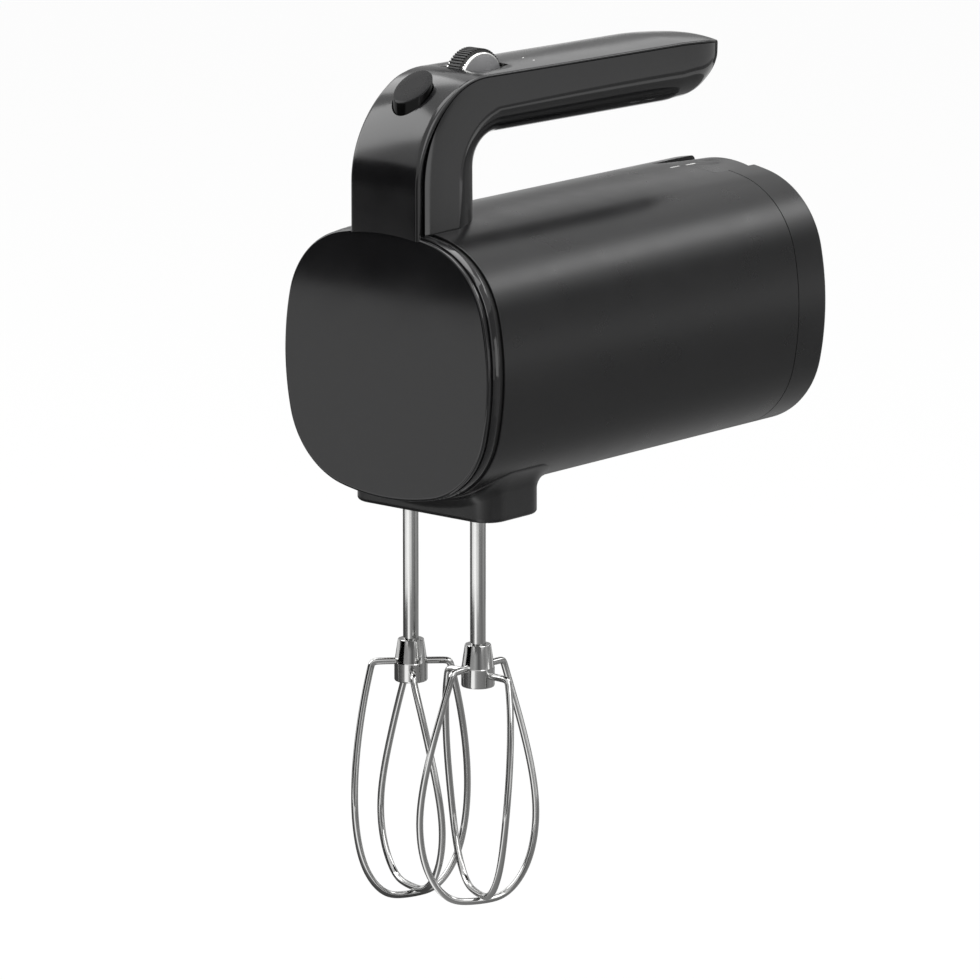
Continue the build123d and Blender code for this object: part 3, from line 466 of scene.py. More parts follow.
def releaseHeight(x, y):
    share = (y - release["start"]) / (release["end"] - release["start"])
    flush = halfHeight - release["inset"]
    front = flush - (halfHeight - bodyHeight(x))
    rear = flush - release["fall"] - release["crown"] * (x / release["half"]) ** 2
    height = between(front, rear, share)
    ball = release["dimpleRadius"]
    away = math.hypot(x, y - release["dimpleAt"])
    if away < ball:
        dish = flush - release["dimpleDepth"] + ball - math.sqrt(ball ** 2 - away ** 2)
        height = min(height, dish)
    return height


def releaseTongue():
    low, half, columns = halfHeight - release["thickness"], release["half"], release["columns"]
    xs = [between(-half, half, i / columns) for i in range(columns + 1)]
    rings = []
    for j in range(release["rows"] + 1):
        y = between(release["start"], release["end"], j / release["rows"])
        top = [at(x, y, releaseHeight(x, y)) for x in reversed(xs)]
        rings.append(top + [at(xs[0], y, low), at(xs[-1], y, low)])
    piece = newPiece("releaseTongue", *skin(rings, caps=(True, True)), satinAbs, 30)
    softEdges(piece, release["edge"])
    setPiece(piece, "release_key", "housing_plastic", "release_button")


def printedMark(name, start, heightAt, bodyName):
    half, rings = marks["halfWidth"], []
    for i in range(marks["steps"] + 1):
        y = start + marks["length"] * i / marks["steps"]
        rings.append([at(half * sx, y, heightAt(half * sx, y) + marks["thickness"] * sz)
                      for sx, sz in ((1, 1), (-1, 1), (-1, -1), (1, -1))])
    piece = newPiece(name, *skin(rings, caps=(True, True)), markWhite)
    setPiece(piece, bodyName, "bright_trim")


releaseTongue()
printedMark("housingMark", marks["housingStart"], lambda x, y: bodyHeight(x), "mixer_body")
printedMark("tongueMark", marks["tongueStart"], releaseHeight, "release_key")
print("battery release built")

# Handle: stations along it, each with a point on its outer line and one on its inner line
handle = {"half": 16.2, "front": -2.4, "stemDepth": 36.0, "foot": 1.7, "bend": 38.4, "innerBend": 14.0,
          "top": 105.4, "slope": 1.0, "height": 24.8, "gap": 0.32, "wall": 1.5, "edge": 0.25, "droop": 150.0,
          "stemSeam": 5.0, "gripSeam": 2.3, "stemEdge": 1.3, "bendEdge": 1.1, "gripEdge": 0.8,
          "stemCrown": 0.15, "gripCrown": 1.2, "stemRear": (6.5, 15.0), "gripUnder": (13.0, 14.0),
          "rearBulge": 1.6, "strip": 0.6, "stripDepth": 3.8, "undercut": 1.5,
          "dots": ((2.6, 72.9), (8.1, 72.5)), "dotDome": ((0.1, 0.1), (0.25, 0.08), (0.4, 0), (0.4, -0.4)),
          "rows": {"foot": 7, "bend": 27, "slot": 14, "grip": 22, "tip": 3},
          "columns": {"edge": 8, "face": 5, "slot": 12, "under": 16}}
dial = {"y": 47.5, "z": 97.1, "slotHalf": 7.75, "slotReach": 11.0, "dishReach": 13.0,
        "dishWidth": 5.5, "dishDepth": 1.4}
slope = math.tan(math.radians(handle["slope"]))
# the tip: the top falls a little, the underside sweeps up, the sides close in
handleTip = ((156, 102.5, 156, 78.4, 16.2), (162, 102.1, 162, 78.7, 16.1), (167, 101.7, 167, 80.1, 15.6),
             (171, 101.2, 170.8, 82.4, 14.6), (174, 100.5, 173.6, 85.2, 13.1), (176, 99.3, 175.5, 88.4, 11.3),
             (177, 97.4, 176.6, 91.8, 9.4), (177.2, 95.0, 177.2, 94.8, 8.2))


def topLine(y):
    return handle["top"] - slope * y


def smoothRun(rows, steps):                   # a smooth curve through the rows, after the first
    made = []
    last = len(rows) - 1
    for i in range(last):
        quad = list(zip(rows[max(i - 1, 0)], rows[i], rows[i + 1], rows[min(i + 2, last)]))
        for step in range(1, steps + 1):
            t = step / steps
            made.append([p + 0.5 * t * (q - o + t * (2 * o - 5 * p + 4 * q - r + t * (3 * p - o - 3 * q + r)))
                         for o, p, q, r in quad])
    return made


def handleStations():
    stations = []

    def add(outer, inner, half, stemShare, rise=1.0):
        stations.append({"outer": Vector(outer), "inner": Vector(inner), "half": half, "stem": stemShare,
                         "rise": rise})

    rows, front, depth, half = handle["rows"], handle["front"], handle["stemDepth"], handle["half"]
    bend, inside = handle["bend"], handle["innerBend"]
    slant = 1 / math.cos(math.radians(handle["slope"]))
    bendY, insideY = front + bend, depth + inside
    bendZ = topLine(bendY) - bend * slant
    insideZ = topLine(insideY) - handle["height"] - inside * slant
    for i in range(rows["foot"]):
        add((front, bendZ), (depth, insideZ), half, 1.0, i / rows["foot"])
    turns = [(90 - handle["slope"]) * i / rows["bend"] for i in range(rows["bend"] + 1)]
    for turn in turns:
        a = math.radians(turn)
        share = turn / turns[-1]
        add((bendY - bend * math.cos(a), bendZ + bend * math.sin(a)),
            (insideY - inside * math.cos(a), insideZ + inside * math.sin(a)), half,
            1 - share ** 2 * (3 - 2 * share))
    gripStart, underStart, droop = stations[-1]["outer"].x, stations[-1]["inner"].x, handle["droop"]
    slotStart, slotEnd = dial["y"] - dial["slotReach"], dial["y"] + dial["slotReach"]
    places = [between(slotStart, slotEnd, i / rows["slot"]) for i in range(rows["slot"] + 1)]
    places += [between(slotEnd, droop, i / rows["grip"]) for i in range(1, rows["grip"] + 1)]
    for y in places:
        under = between(underStart, droop, (y - gripStart) / (droop - gripStart))
        add((y, topLine(y)), (under, topLine(under) - handle["height"]), half, 0.0)
    start = (droop, topLine(droop), droop, topLine(droop) - handle["height"], half)
    for outerY, outerZ, innerY, innerZ, narrow in smoothRun((start,) + handleTip, rows["tip"]):
        add((outerY, outerZ), (innerY, innerZ), narrow, 0.0)
    return stations


def dishDepth(x, y):                          # finger room beside the dial
    along = (y - dial["y"]) / dial["dishReach"]
    across = (abs(x) - dial["slotHalf"]) / dial["dishWidth"]
    if abs(along) >= 1 or across >= 1:
        return 0.0
    return dial["dishDepth"] * (1 - along ** 2) ** 2 * (1 - max(across, 0)) ** 2


def sectionFrame(station):                    # points across a section, the foot cut to the body
    outer, inner, rise = station["outer"], station["inner"], station["rise"]
    depth = (inner - outer).length
    way = (inner - outer) / depth

    def point(x, d):
        y, z = outer.x + way.x * d, outer.y + way.y * d
        return at(x, y, between(bodyHeight(x) - handle["foot"], z, rise))

    return point, depth


def seamDepth(station, depth):
    share = station["stem"]
    return min(between(handle["gripSeam"], handle["stemSeam"], share), depth * 0.3)


# From the right seam over the top to the left seam; the limits keep the narrow tip from folding
def outerStrip(station):
    point, depth = sectionFrame(station)
    half, share, columns = station["half"], station["stem"], handle["columns"]
    seam = seamDepth(station, depth)
    crown = min(between(handle["gripCrown"], handle["stemCrown"], share), seam * 0.6)
    edge = between(handle["gripEdge"], handle["stemEdge"], share)
    edge += 4 * handle["bendEdge"] * share * (1 - share)
    low = seam - handle["gap"] / 2 * min(1, depth / 8)
    edge = min(edge, (low - crown) * 0.92)
    face = half - edge
    slot = min(dial["slotHalf"], face * 0.66)
    xs = [between(face, slot, i / columns["face"]) for i in range(columns["face"])]
    xs += [between(slot, -slot, i / columns["slot"]) for i in range(columns["slot"])]
    xs += [between(-slot, -face, i / columns["face"]) for i in range(columns["face"] + 1)]
    seamHalf = half - handle["undercut"] * share
    side = [(seamHalf, low), (between(seamHalf, half, 0.6), between(low, edge + crown, 0.6))]
    flank = side + arcPoints(face, edge + crown, edge, 0, -90, columns["edge"])[:-1]
    strip = flank + [(x, crown * (x / face) ** 2 + dishDepth(x, station["outer"].x)) for x in xs]
    strip += arcPoints(-face, edge + crown, edge, -90, -180, columns["edge"])[1:]
    strip += [(-x, d) for x, d in side[::-1]]
    return [point(x, d) for x, d in strip]


def innerStrip(station):                      # from the left seam round the grip to the right seam
    point, depth = sectionFrame(station)
    half, share = station["half"], station["stem"]
    high = seamDepth(station, depth) + handle["gap"] / 2 * min(1, depth / 8)
    across, along = [between(g, r, share) for g, r in zip(handle["gripUnder"], handle["stemRear"])]
    across, along = min(across, half * 0.85), min(along, (depth - high) * 0.75)
    bulge = between(1.0, handle["rearBulge"], share)
    strip = handle["strip"] * share
    stripEnd = min(high + handle["stripDepth"], between(high, depth - along, 0.6))
    right = [(half - strip, high), (half, stripEnd), (half, between(stripEnd, depth - along, 0.5))]
    for i in range(handle["columns"]["under"] + 1):
        a = math.radians(90 * i / handle["columns"]["under"])
        right.append((half - across * (1 - math.cos(a) ** bulge), depth - along * (1 - math.sin(a) ** bulge)))
    flatEnd = half - across
    left = [(-x, d) for x, d in right]
    middle = [(between(-flatEnd, flatEnd, i / 5), depth) for i in range(1, 5)]
    return [point(x, d) for x, d in left + middle + right[::-1]]


# Eject button: a round plug cut at a slant, in a hole through the bend
eject = {"radius": 7.2, "y": 14.1, "face": 100.9, "tilt": 35.3, "bottom": 84.0, "edge": 0.4, "gap": 0.45,
         "soft": 0.12, "crown": 3.0, "steps": 72, "pocket": (6.0, 3.9), "pocketDepth": 5.4,
         "hole": (130, 70)}


def cutButtonHole(shell):
    radius = eject["radius"] + eject["gap"]
    drilled = [(radius, z) for z in eject["hole"]]
    cutAway(shell, turned("holeCutter", drilled, 0, eject["y"], handleAbs, 96))
    evenShading(shell)


def handleShells():
    stations = handleStations()
    outerRings = [outerStrip(s) for s in stations]
    innerRings = [innerStrip(s) for s in stations]
    slotRows = [r for r in range(len(stations) - 1)
                if stations[r]["outer"].x > dial["y"] - dial["slotReach"] - 0.01
                and stations[r + 1]["outer"].x < dial["y"] + dial["slotReach"] + 0.01]
    columns = handle["columns"]
    firstColumn = 2 + columns["edge"] + columns["face"]
    skip = [(r, c) for r in slotRows for c in range(firstColumn, firstColumn + columns["slot"])]
    outer = newPiece("handleOuterShell", *skin(outerRings, loop=False, skip=skip), handleAbs, closed=False)
    thickShell(outer, handle["wall"], handle["edge"])
    cutButtonHole(outer)
    setPiece(outer, "mixer_body", "handle_plastic", "handle_outer_shell")
    inner = newPiece("handleInnerShell", *skin(innerRings, loop=False), glossAbs, closed=False)
    thickShell(inner, handle["wall"], handle["edge"])
    for y in screw["gripY"]:
        under = topLine(y) - handle["height"]
        drilled = [(screw["hole"], under + 4), (screw["hole"], under - 2)]
        cutAway(inner, turned("screwCutter", drilled, 0, y, glossAbs, 48))
    evenShading(inner)
    setPiece(inner, "mixer_body", "gloss_plastic", "handle_inner_shell")


def lightDots():                              # two tiny windows behind the dial, each a low dome
    for i, (x, y) in enumerate(handle["dots"]):
        z = topLine(y) - handle["gripCrown"] * (x / handle["half"]) ** 2
        profile = [(radius, z + rise) for radius, rise in handle["dotDome"]]
        piece = turned("lightDot" + "AB"[i], profile, x, y, markWhite, 20, 60)
        setPiece(piece, "mixer_body", "bright_trim")


handleShells()
lightDots()
print("handle built")


def ejectButton():
    tilt, middle, angles = math.tan(math.radians(eject["tilt"])), eject["y"], roundAngles(eject["steps"])
    radius, edge, soft = eject["radius"], eject["edge"], eject["soft"]
    profile = [(radius - eject["crown"], 0.0), (radius - edge - 0.3, 0.0), (radius - edge, -0.02),
               (radius - soft, soft - edge), (radius, -edge - 0.1)]
    rings = []
    for r, drop in profile:                   # the slanted face
        z = eject["face"] + drop
        rings.append([at(r * math.cos(a), middle + r * math.sin(a), z + r * math.sin(a) * tilt)
                      for a in angles])
    low, high = eject["bottom"], eject["bottom"] + eject["pocketDepth"]
    outer, inner = eject["pocket"]            # a ring-shaped pocket takes the spring when it goes down
    for r, z in ((radius, low), (outer, low), (outer, high), (inner, high), (inner, low)):
        rings.append([at(r * math.cos(a), middle + r * math.sin(a), z) for a in angles])
    piece = newPiece("ejectButton", *skin(rings, caps=(True, True)), buttonAbs, 28)
    # faces that do not look up take the near black: painted shade in the gap round the button
    piece.data.materials.append(plugGapShade)
    for face in piece.data.polygons:
        face.material_index = 1 if face.normal.z < 0.4 else 0
    setPiece(piece, "eject_slide", "handle_plastic", "eject_button")


ejectButton()

# Boss under the front: a rounded block that swells into a flange shaped to the body
boss = {"halfX": 34.5, "halfY": 16.25, "y": 32.75, "corner": 9.0, "bottom": -58.0, "edge": 1.4, "flange": 4.5,
        "flangeEdge": 0.55, "sink": 0.8, "soft": 0.15, "fillet": 4.4, "bore": 8.85, "boreDepth": 10.0,
        "spindleX": 16.35, "spindleY": 31.2, "cornerSteps": 10, "sideSteps": 12}


def bossOutline(grow):
    hx, hy, r = boss["halfX"] + grow, boss["halfY"] + grow, boss["corner"] + grow
    corners = [(hx - r, hy - r, 0), (r - hx, hy - r, 90), (r - hx, r - hy, 180), (hx - r, r - hy, 270)]
    steps, points = boss["sideSteps"], []
    for cx, cy, start in corners:
        arc = arcPoints(cx, cy, r, start, start + 90, boss["cornerSteps"])
        nextX, nextY = corners[(start // 90 + 1) % 4][:2]
        a = math.radians(start + 90)
        (fromX, fromY), toX, toY = arc[-1], nextX + r * math.cos(a), nextY + r * math.sin(a)
        points += arc
        points += [(between(fromX, toX, i / steps), between(fromY, toY, i / steps)) for i in range(1, steps)]
    return points


def spindleBoss():
    flange, lip, soft, fillet = boss["flange"], boss["flangeEdge"], boss["soft"], boss["fillet"]
    swell = [(flange, -boss["sink"]), (flange, lip - soft), (flange - soft, lip)]
    for i in range(1, 10):
        a = math.radians(10 * i)
        swell.append((flange - 0.1 - fillet * math.sin(a), lip + fillet * (1 - math.cos(a))))
    rings = [[at(x, boss["y"] + y, -bodyHeight(x) - drop) for x, y in bossOutline(grow)]
             for grow, drop in swell]
    edge, bottom = boss["edge"], boss["bottom"]
    foot = [(0, bottom + edge + 0.4)] + arcPoints(-edge, bottom + edge, edge, 0, -90, 6)
    foot += [(-edge - 1.0, bottom)]
    rings += [[at(x, boss["y"] + y, z) for x, y in bossOutline(grow)] for grow, z in foot]
    piece = newPiece("spindleBoss", *skin(rings, caps=(True, True)), bossNylon, 30)
    for side in (-1, 1):
        drilled = [(boss["bore"], bottom + boss["boreDepth"]), (boss["bore"], bottom - 1)]
        cutAway(piece, turned("boreCutter", drilled, side * boss["spindleX"], boss["spindleY"], bossNylon))
    shadeSmooth(piece.data, 30)
    setPiece(piece, "mixer_body", "boss_plastic", "spindle_boss")


spindleBoss()
print("button and boss built")

# Whisks: wires bowed on a smooth curve, swept by a node tree with named sizes
whisk = {"x": 16.35, "y": 31.2, "wire": 1.3, "armZ": -119.0, "armStart": 2.0, "armReach": 14.7,
         "bottom": -208.3, "step": 2.9, "twist": 27.0, "leftAngle": 44.9, "rightAngle": 89.9,
         "rightLift": 3.0,
         "bow": ((18.2, -134.5, 0.28), (22.2, -154.0, 0.64), (24.7, -176.0, 0.95)),
         "sole": ((21.2, 12.0), (12.2, 0.8), (4.0, -0.35))}
hub = {"top": -110.5, "bottom": -126.5, "radius": 6.2, "neck": 4.85, "cone": 8.6, "edge": 0.6, "soft": 0.35,
       "shaft": 2.95}


def newTree(name, sizes):                     # a node tree with named inputs for its sizes and its finish
    tree = bpy.data.node_groups.new(name, "GeometryNodeTree")
    for socket, kind in (("Geometry", "Geometry"), *sizes, ("Finish", "Material")):
        tree.interface.new_socket(socket, in_out="INPUT", socket_type="NodeSocket" + kind)
    tree.interface.new_socket("Geometry", in_out="OUTPUT", socket_type="NodeSocketGeometry")
    return tree, addNode(tree, "NodeGroupInput")


def endTree(tree, given, geometry):           # ends in real faces with the finish on them
    solid = addNode(tree, "GeometryNodeRealizeInstances", None, {"Geometry": geometry})
    coloured = addNode(tree, "GeometryNodeSetMaterial", None,
                       {"Geometry": solid.outputs["Geometry"], "Material": given.outputs["Finish"]})
    addNode(tree, "NodeGroupOutput", None, {"Geometry": coloured.outputs["Geometry"]})
    return tree


def wireTree():
    tree, given = newTree("bentWire", [("Wire Radius", "Float")])
    ring = addNode(tree, "GeometryNodeCurvePrimitiveCircle", {"Resolution": 16},
                   {"Radius": given.outputs["Wire Radius"]})
    tube = addNode(tree, "GeometryNodeCurveToMesh", {"Fill Caps": True},
                   {"Curve": given.outputs["Geometry"], "Profile Curve": ring.outputs["Curve"]})
    smooth = addNode(tree, "GeometryNodeSetShadeSmooth", None, {"Geometry": tube.outputs["Mesh"]})
    return endTree(tree, given, smooth.outputs["Geometry"])


bentWire = wireTree()


def runTree(name, source, tree, inputs):      # gives the tree its sizes, then keeps the plain mesh
    modifier = source.modifiers.new("tree", "NODES")
    modifier.node_group = tree
    sockets = {s.name: s.identifier for s in tree.interface.items_tree if s.in_out == "INPUT"}
    for socket, value in inputs.items():
        modifier[sockets[socket]] = value
    mesh = bpy.data.meshes.new_from_object(source.evaluated_get(bpy.context.evaluated_depsgraph_get()))
    mesh.name = name
    piece = bpy.data.objects.new(name, mesh)
    scene.collection.objects.link(piece)
    bpy.data.objects.remove(source)
    return piece


def wirePoints(side, order):
    angle = whisk["rightAngle"] if side > 0 else whisk["leftAngle"]
    lift = whisk["rightLift"] if side > 0 else 0
    level = whisk["armZ"] + lift - order * whisk["step"]
    low = whisk["bottom"] + lift + order * whisk["step"]
    reach, wire = whisk["armReach"], whisk["wire"]
    half = [(whisk["armStart"], level, 0), (reach - 3 * wire, level, 0), (reach - 0.8 * wire, level, 0),
            (reach, level - 0.8 * wire, 0), (reach + 0.5 * wire, level - 3 * wire, 0.05)]
    half += [(radius, z + lift, share) for radius, z, share in whisk["bow"]]
    half += [(radius, low + rise, 1) for radius, rise in whisk["sole"]]
    points = []
    for turn, run in ((0, half), (180, half[::-1])):
        for radius, z, share in run:
            a = math.radians(angle + 90 * order + turn - side * whisk["twist"] * share)
            points.append(at(side * whisk["x"] + radius * math.cos(a), whisk["y"] + radius * math.sin(a), z))
    return points


def whiskLoop(side, sideName, order):
    name = sideName + "WhiskLoop" + "AB"[order]
    curve = bpy.data.curves.new(name, "CURVE")
    curve.dimensions = "3D"
    spline = curve.splines.new("NURBS")
    points = wirePoints(side, order)
    spline.points.add(len(points) - 1)
    for point, place in zip(spline.points, points):
        point.co = (*place, 1)
    spline.order_u = 4
    spline.use_endpoint_u = True
    spline.resolution_u = 8
    source = bpy.data.objects.new(name + "Path", curve)
    scene.collection.objects.link(source)
    piece = runTree(name, source, bentWire, {"Wire Radius": whisk["wire"] * mm, "Finish": polishedSteel})
    setPiece(piece, sideName + "_whisk", "whisk_steel", f"{sideName}_whisk_loop_{'ab'[order]}")


def whiskHub(side, sideName):
    lift = whisk["rightLift"] if side > 0 else 0
    top, bottom = hub["top"] + lift, hub["bottom"] + lift
    radius, edge, soft = hub["radius"], hub["edge"], hub["soft"]
    profile = [(hub["shaft"], top), (hub["neck"] - soft, top)]
    profile += arcPoints(hub["neck"] - soft, top - soft, soft, 90, 0, 3)
    profile += [(radius - 0.1, top - hub["cone"]), (radius, top - hub["cone"] - 0.3), (radius, bottom + edge),
                (radius - edge * 0.3, bottom + edge * 0.3), (radius - edge, bottom), (0.5, bottom)]
    piece = turned(sideName + "WhiskHub", profile, side * whisk["x"], whisk["y"], polishedSteel, 96, 7)
    setPiece(piece, sideName + "_whisk", "whisk_steel", sideName + "_whisk_hub")


for sideName, side in (("left", -1), ("right", 1)):
    whiskHub(side, sideName)
    for order in (0, 1):
        whiskLoop(side, sideName, order)
print("whisks built")

# Speed dial: ribs set round a hub by a node tree, bright rings and domed caps beside it
tread = {"half": 3.0, "radius": 13.6, "rib": 0.5, "count": 64, "ribWidth": 0.7, "soft": 0.2, "bore": 2.1,
         "web": 9.0, "ring": 1.6, "ringDrop": 0.7, "cap": 2.4,
         "capRings": (11, 10, 8.7, 7.3, 6, 4.5, 3.2, 2.1)}


def ribTree():
    tree, given = newTree("dialRibs", [("Count", "Int"), ("Radius", "Float"), ("Rib Size", "Vector")])
    circle = addNode(tree, "GeometryNodeMeshCircle", None,
                     {"Vertices": given.outputs["Count"], "Radius": given.outputs["Radius"]})
    place = addNode(tree, "GeometryNodeInputPosition")
    turn = addNode(tree, "FunctionNodeAlignEulerToVector", {"axis": "X"}, {"Vector": place.outputs[0]})
    rib = addNode(tree, "GeometryNodeMeshCube", None, {"Size": given.outputs["Rib Size"]})
    copies = addNode(tree, "GeometryNodeInstanceOnPoints", None,
                     {"Points": circle.outputs["Mesh"], "Instance": rib.outputs["Mesh"],
                      "Rotation": turn.outputs[0]})
    whole = addNode(tree, "GeometryNodeJoinGeometry")
    tree.links.new(given.outputs["Geometry"], whole.inputs[0])
    tree.links.new(copies.outputs["Instances"], whole.inputs[0])
    return endTree(tree, given, whole.outputs["Geometry"])


def aboutDial(profile, steps=72):             # rings of (radius, distance to the right) about the dial's axle
    return [[(x * mm, radius * mm * math.cos(a), radius * mm * math.sin(a)) for a in roundAngles(steps)]
            for radius, x in profile]


def placeAtDial(piece):
    middle = at(0, dial["y"], dial["z"])
    piece.data.transform(Matrix.Translation(middle))
    return piece


def speedDial():
    core, half, rib = tread["radius"] - tread["rib"], tread["half"], tread["rib"]
    side = [(tread["bore"], half + tread["ring"]), (tread["web"], half + tread["ring"]), (tread["web"], half),
            (core - tread["soft"], half), (core, half - tread["soft"])]
    rings = aboutDial(side + [(r, -x) for r, x in reversed(side)] + side[:1])
    source = newPiece("dialCore", *skin(rings), dialRubber)
    source.data.transform(Matrix.Rotation(math.radians(-90), 4, "Y"))
    piece = runTree("speedDial", source, ribTree(), {
        "Count": tread["count"], "Radius": (core + rib * 0.35) * mm, "Finish": dialRubber,
        "Rib Size": (rib * 1.3 * mm, tread["ribWidth"] * mm, 2 * half * mm)})
    piece.data.transform(Matrix.Rotation(math.radians(90), 4, "Y"))
    placeAtDial(piece)
    shadeSmooth(piece.data, 30)
    setPiece(piece, "dial_wheel", "dial_rubber", "speed_dial")


def dialSides():
    start, width, rise, inner = tread["half"], tread["ring"], tread["cap"], tread["web"] + 0.1
    rim = tread["radius"] - tread["rib"] - tread["ringDrop"]
    outer, capStart = rim - width / 2, start + width
    ring = [(inner, start + 0.02), (rim, start + 0.02)]
    ring += arcPoints(outer, start + width / 2, width / 2, 0, 90, 6) + [(inner, capStart)]
    ball = (outer ** 2 + rise ** 2) / (2 * rise)
    cap = [(tread["bore"], capStart), (outer, capStart)]
    cap += [(r, capStart + rise - ball + math.sqrt(ball ** 2 - r ** 2)) for r in tread["capRings"]]
    # the caps' mid grey is a painted reflection of the bright sky
    for name, profile, finish, slot, node in (("dialRings", ring, brightChrome, "bright_trim", "dial_rings"),
                                              ("dialCaps", cap, dialCapPaintedSheen, "dial_plastic", "dial_caps")):
        points, faces = [], []
        for side in (-1, 1):
            rings = aboutDial([(r, side * x) for r, x in profile + profile[:1]])
            more, quads = skin(rings)
            faces += [tuple(i + len(points) for i in quad) for quad in quads]
            points += more
        piece = placeAtDial(newPiece(name, points, faces, finish, 40))
        setPiece(piece, "dial_wheel", slot, node)


speedDial()
dialSides()
print("dial built")


def screwTree():                              # a head with a crossed slot, on its shank, at every point
    sizes = ("Head Radius", "Head Height", "Shank Radius", "Shank Length")
    places = ("Slot Size", "Slot Lift", "Shank Place", "Turn")
    tree, given = newTree("crossScrews", [(s, "Float") for s in sizes] + [(p, "Vector") for p in places])
    head = addNode(tree, "GeometryNodeMeshCylinder", {"Vertices": 48},
                   {"Radius": given.outputs["Head Radius"], "Depth": given.outputs["Head Height"]})
    slot = addNode(tree, "GeometryNodeMeshCube", None, {"Size": given.outputs["Slot Size"]})
    cut = addNode(tree, "GeometryNodeMeshBoolean", {"operation": "DIFFERENCE"},
                  {"Mesh 1": head.outputs["Mesh"]})
    for turn in (45, 135):
        placed = addNode(tree, "GeometryNodeTransform", {"Rotation": (0, 0, math.radians(turn))},
                         {"Geometry": slot.outputs["Mesh"], "Translation": given.outputs["Slot Lift"]})
        tree.links.new(placed.outputs["Geometry"], cut.inputs["Mesh 2"])
    shank = addNode(tree, "GeometryNodeMeshCylinder", {"Vertices": 24},
                    {"Radius": given.outputs["Shank Radius"], "Depth": given.outputs["Shank Length"]})
    lowered = addNode(tree, "GeometryNodeTransform", None,
                      {"Geometry": shank.outputs["Mesh"], "Translation": given.outputs["Shank Place"]})
    whole = addNode(tree, "GeometryNodeJoinGeometry")
    tree.links.new(cut.outputs["Mesh"], whole.inputs[0])
    tree.links.new(lowered.outputs["Geometry"], whole.inputs[0])
    copies = addNode(tree, "GeometryNodeInstanceOnPoints", None,
                     {"Points": given.outputs["Geometry"], "Instance": whole.outputs["Geometry"],
                      "Rotation": given.outputs["Turn"]})
    return endTree(tree, given, copies.outputs["Instances"])


crossScrews = screwTree()


def screws(name, node, places, shank, turn):
    mesh = bpy.data.meshes.new(name + "Places")
    mesh.from_pydata([at(*place) for place in places], [], [])
    source = bpy.data.objects.new(name + "Places", mesh)
    scene.collection.objects.link(source)
    height, shank = screw["height"] * mm, shank * mm
    length, width = screw["slot"]
    piece = runTree(name, source, crossScrews, {
        "Head Radius": screw["head"] * mm, "Head Height": height, "Shank Radius": screw["shank"] * mm,
        "Shank Length": shank, "Shank Place": (0, 0, -(height + shank) / 2), "Turn": turn,
        "Slot Size": (length * mm, width * mm, height), "Slot Lift": (0, 0, height / 2),
        "Finish": turnedSteel})
    softEdges(piece, screw["edge"])
    setPiece(piece, "mixer_body", "machined_steel", node)


rearPlaces = [(x, screw["rearY"], z) for x, z in screwPlaces]
gripPlaces = [(0, y, topLine(y) - handle["height"] + screw["gripSink"]) for y in screw["gripY"]]
screws("rearScrews", "rear_cover_screws", rearPlaces, screw["rearShank"], (-math.pi / 2, 0, 0))
screws("gripScrews", "handle_screws", gripPlaces, screw["gripShank"], (math.pi, 0, 0))

# Battery: a cap with a dished end, a finger rim and a fine step, behind a case with grip grooves
cap = {"radius": 24.5, "length": 4.8, "spigot": 20.9, "spigotLength": 2.0, "edge": 0.6, "rim": 3.4,
       "lip": 0.5, "slope": 1.1, "land": 2.0, "dish": 1.3, "step": 0.12, "hollow": 0.5}
case = {"radius": 24.48, "wall": 1.6, "lead": 1.0, "edge": 0.3, "groove": 0.35, "bandFront": 8.0,
        "bandRear": 18.0, "gripStart": 13.0, "gripPitch": 3.4, "gripWidth": 1.6, "key": 1.6,
        "keyOut": 0.4, "keyEnd": 16.0}


def batteryCap():
    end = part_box("battery_cap")[1].y / mm + gripMiddle[1]
    radius, edge, lip, dish = cap["radius"], cap["edge"], cap["lip"], end - cap["dish"] - cap["step"]
    rim, start = radius - cap["rim"], end - cap["length"]
    profile = [(cap["spigot"], start - cap["spigotLength"]), (cap["spigot"], start), (radius, start)]
    profile += arcPoints(radius - edge, end - edge, edge, 0, 90, 5)
    profile += arcPoints(rim + lip, end - lip, lip, 90, 160, 4)
    profile += [(rim - cap["slope"], end - cap["dish"]), (rim - cap["land"], dish)]
    for i in range(1, 9):
        share = i / 8
        sunk = cap["hollow"] * (1 - (1 - share) ** 2)
        profile.append((between(rim - cap["land"], 0.5, share), dish - sunk))
    piece = turnedAlong("batteryCap", profile, 0, 0, satinAbs, 96, 30)
    evenShading(piece, 30)
    setPiece(piece, "battery_pack", "gloss_plastic", "battery_cap")


def batteryCase():
    low, high = [corner.y / mm + gripMiddle[1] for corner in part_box("battery_case")]
    radius, sunk, lead, wall = case["radius"], case["groove"], case["lead"], case["wall"]
    grooves = [(low + case["bandFront"], high - case["bandRear"])]    # a wide plain band, then the grip
    for i in range(3):
        start = high - case["gripStart"] + case["gripPitch"] * i
        grooves.append((start, start + case["gripWidth"]))
    profile = [(radius - wall, low), (radius - lead, low), (radius, low + lead)]
    for start, end in grooves:
        profile += [(radius, start), (radius - sunk, start + sunk), (radius - sunk, end - sunk),
                    (radius, end)]
    profile += [(radius, high - case["edge"]), (radius - case["edge"], high), (radius - wall, high)]
    piece = turnedAlong("batteryCase", profile, 0, 0, caseAbs, 96, 30)
    keyway = [(case["key"], low - 1), (case["key"], high - case["keyEnd"])]
    for side in (-1, 1):                      # grooves that keep it from turning
        cutAway(piece, turnedAlong("keyCutter", keyway, side * (radius + case["keyOut"]), 0, caseAbs, 24))
    evenShading(piece, 30)
    setPiece(piece, "battery_pack", "inner_plastic", "battery_case")


batteryCap()
batteryCase()
print("screws and battery built")

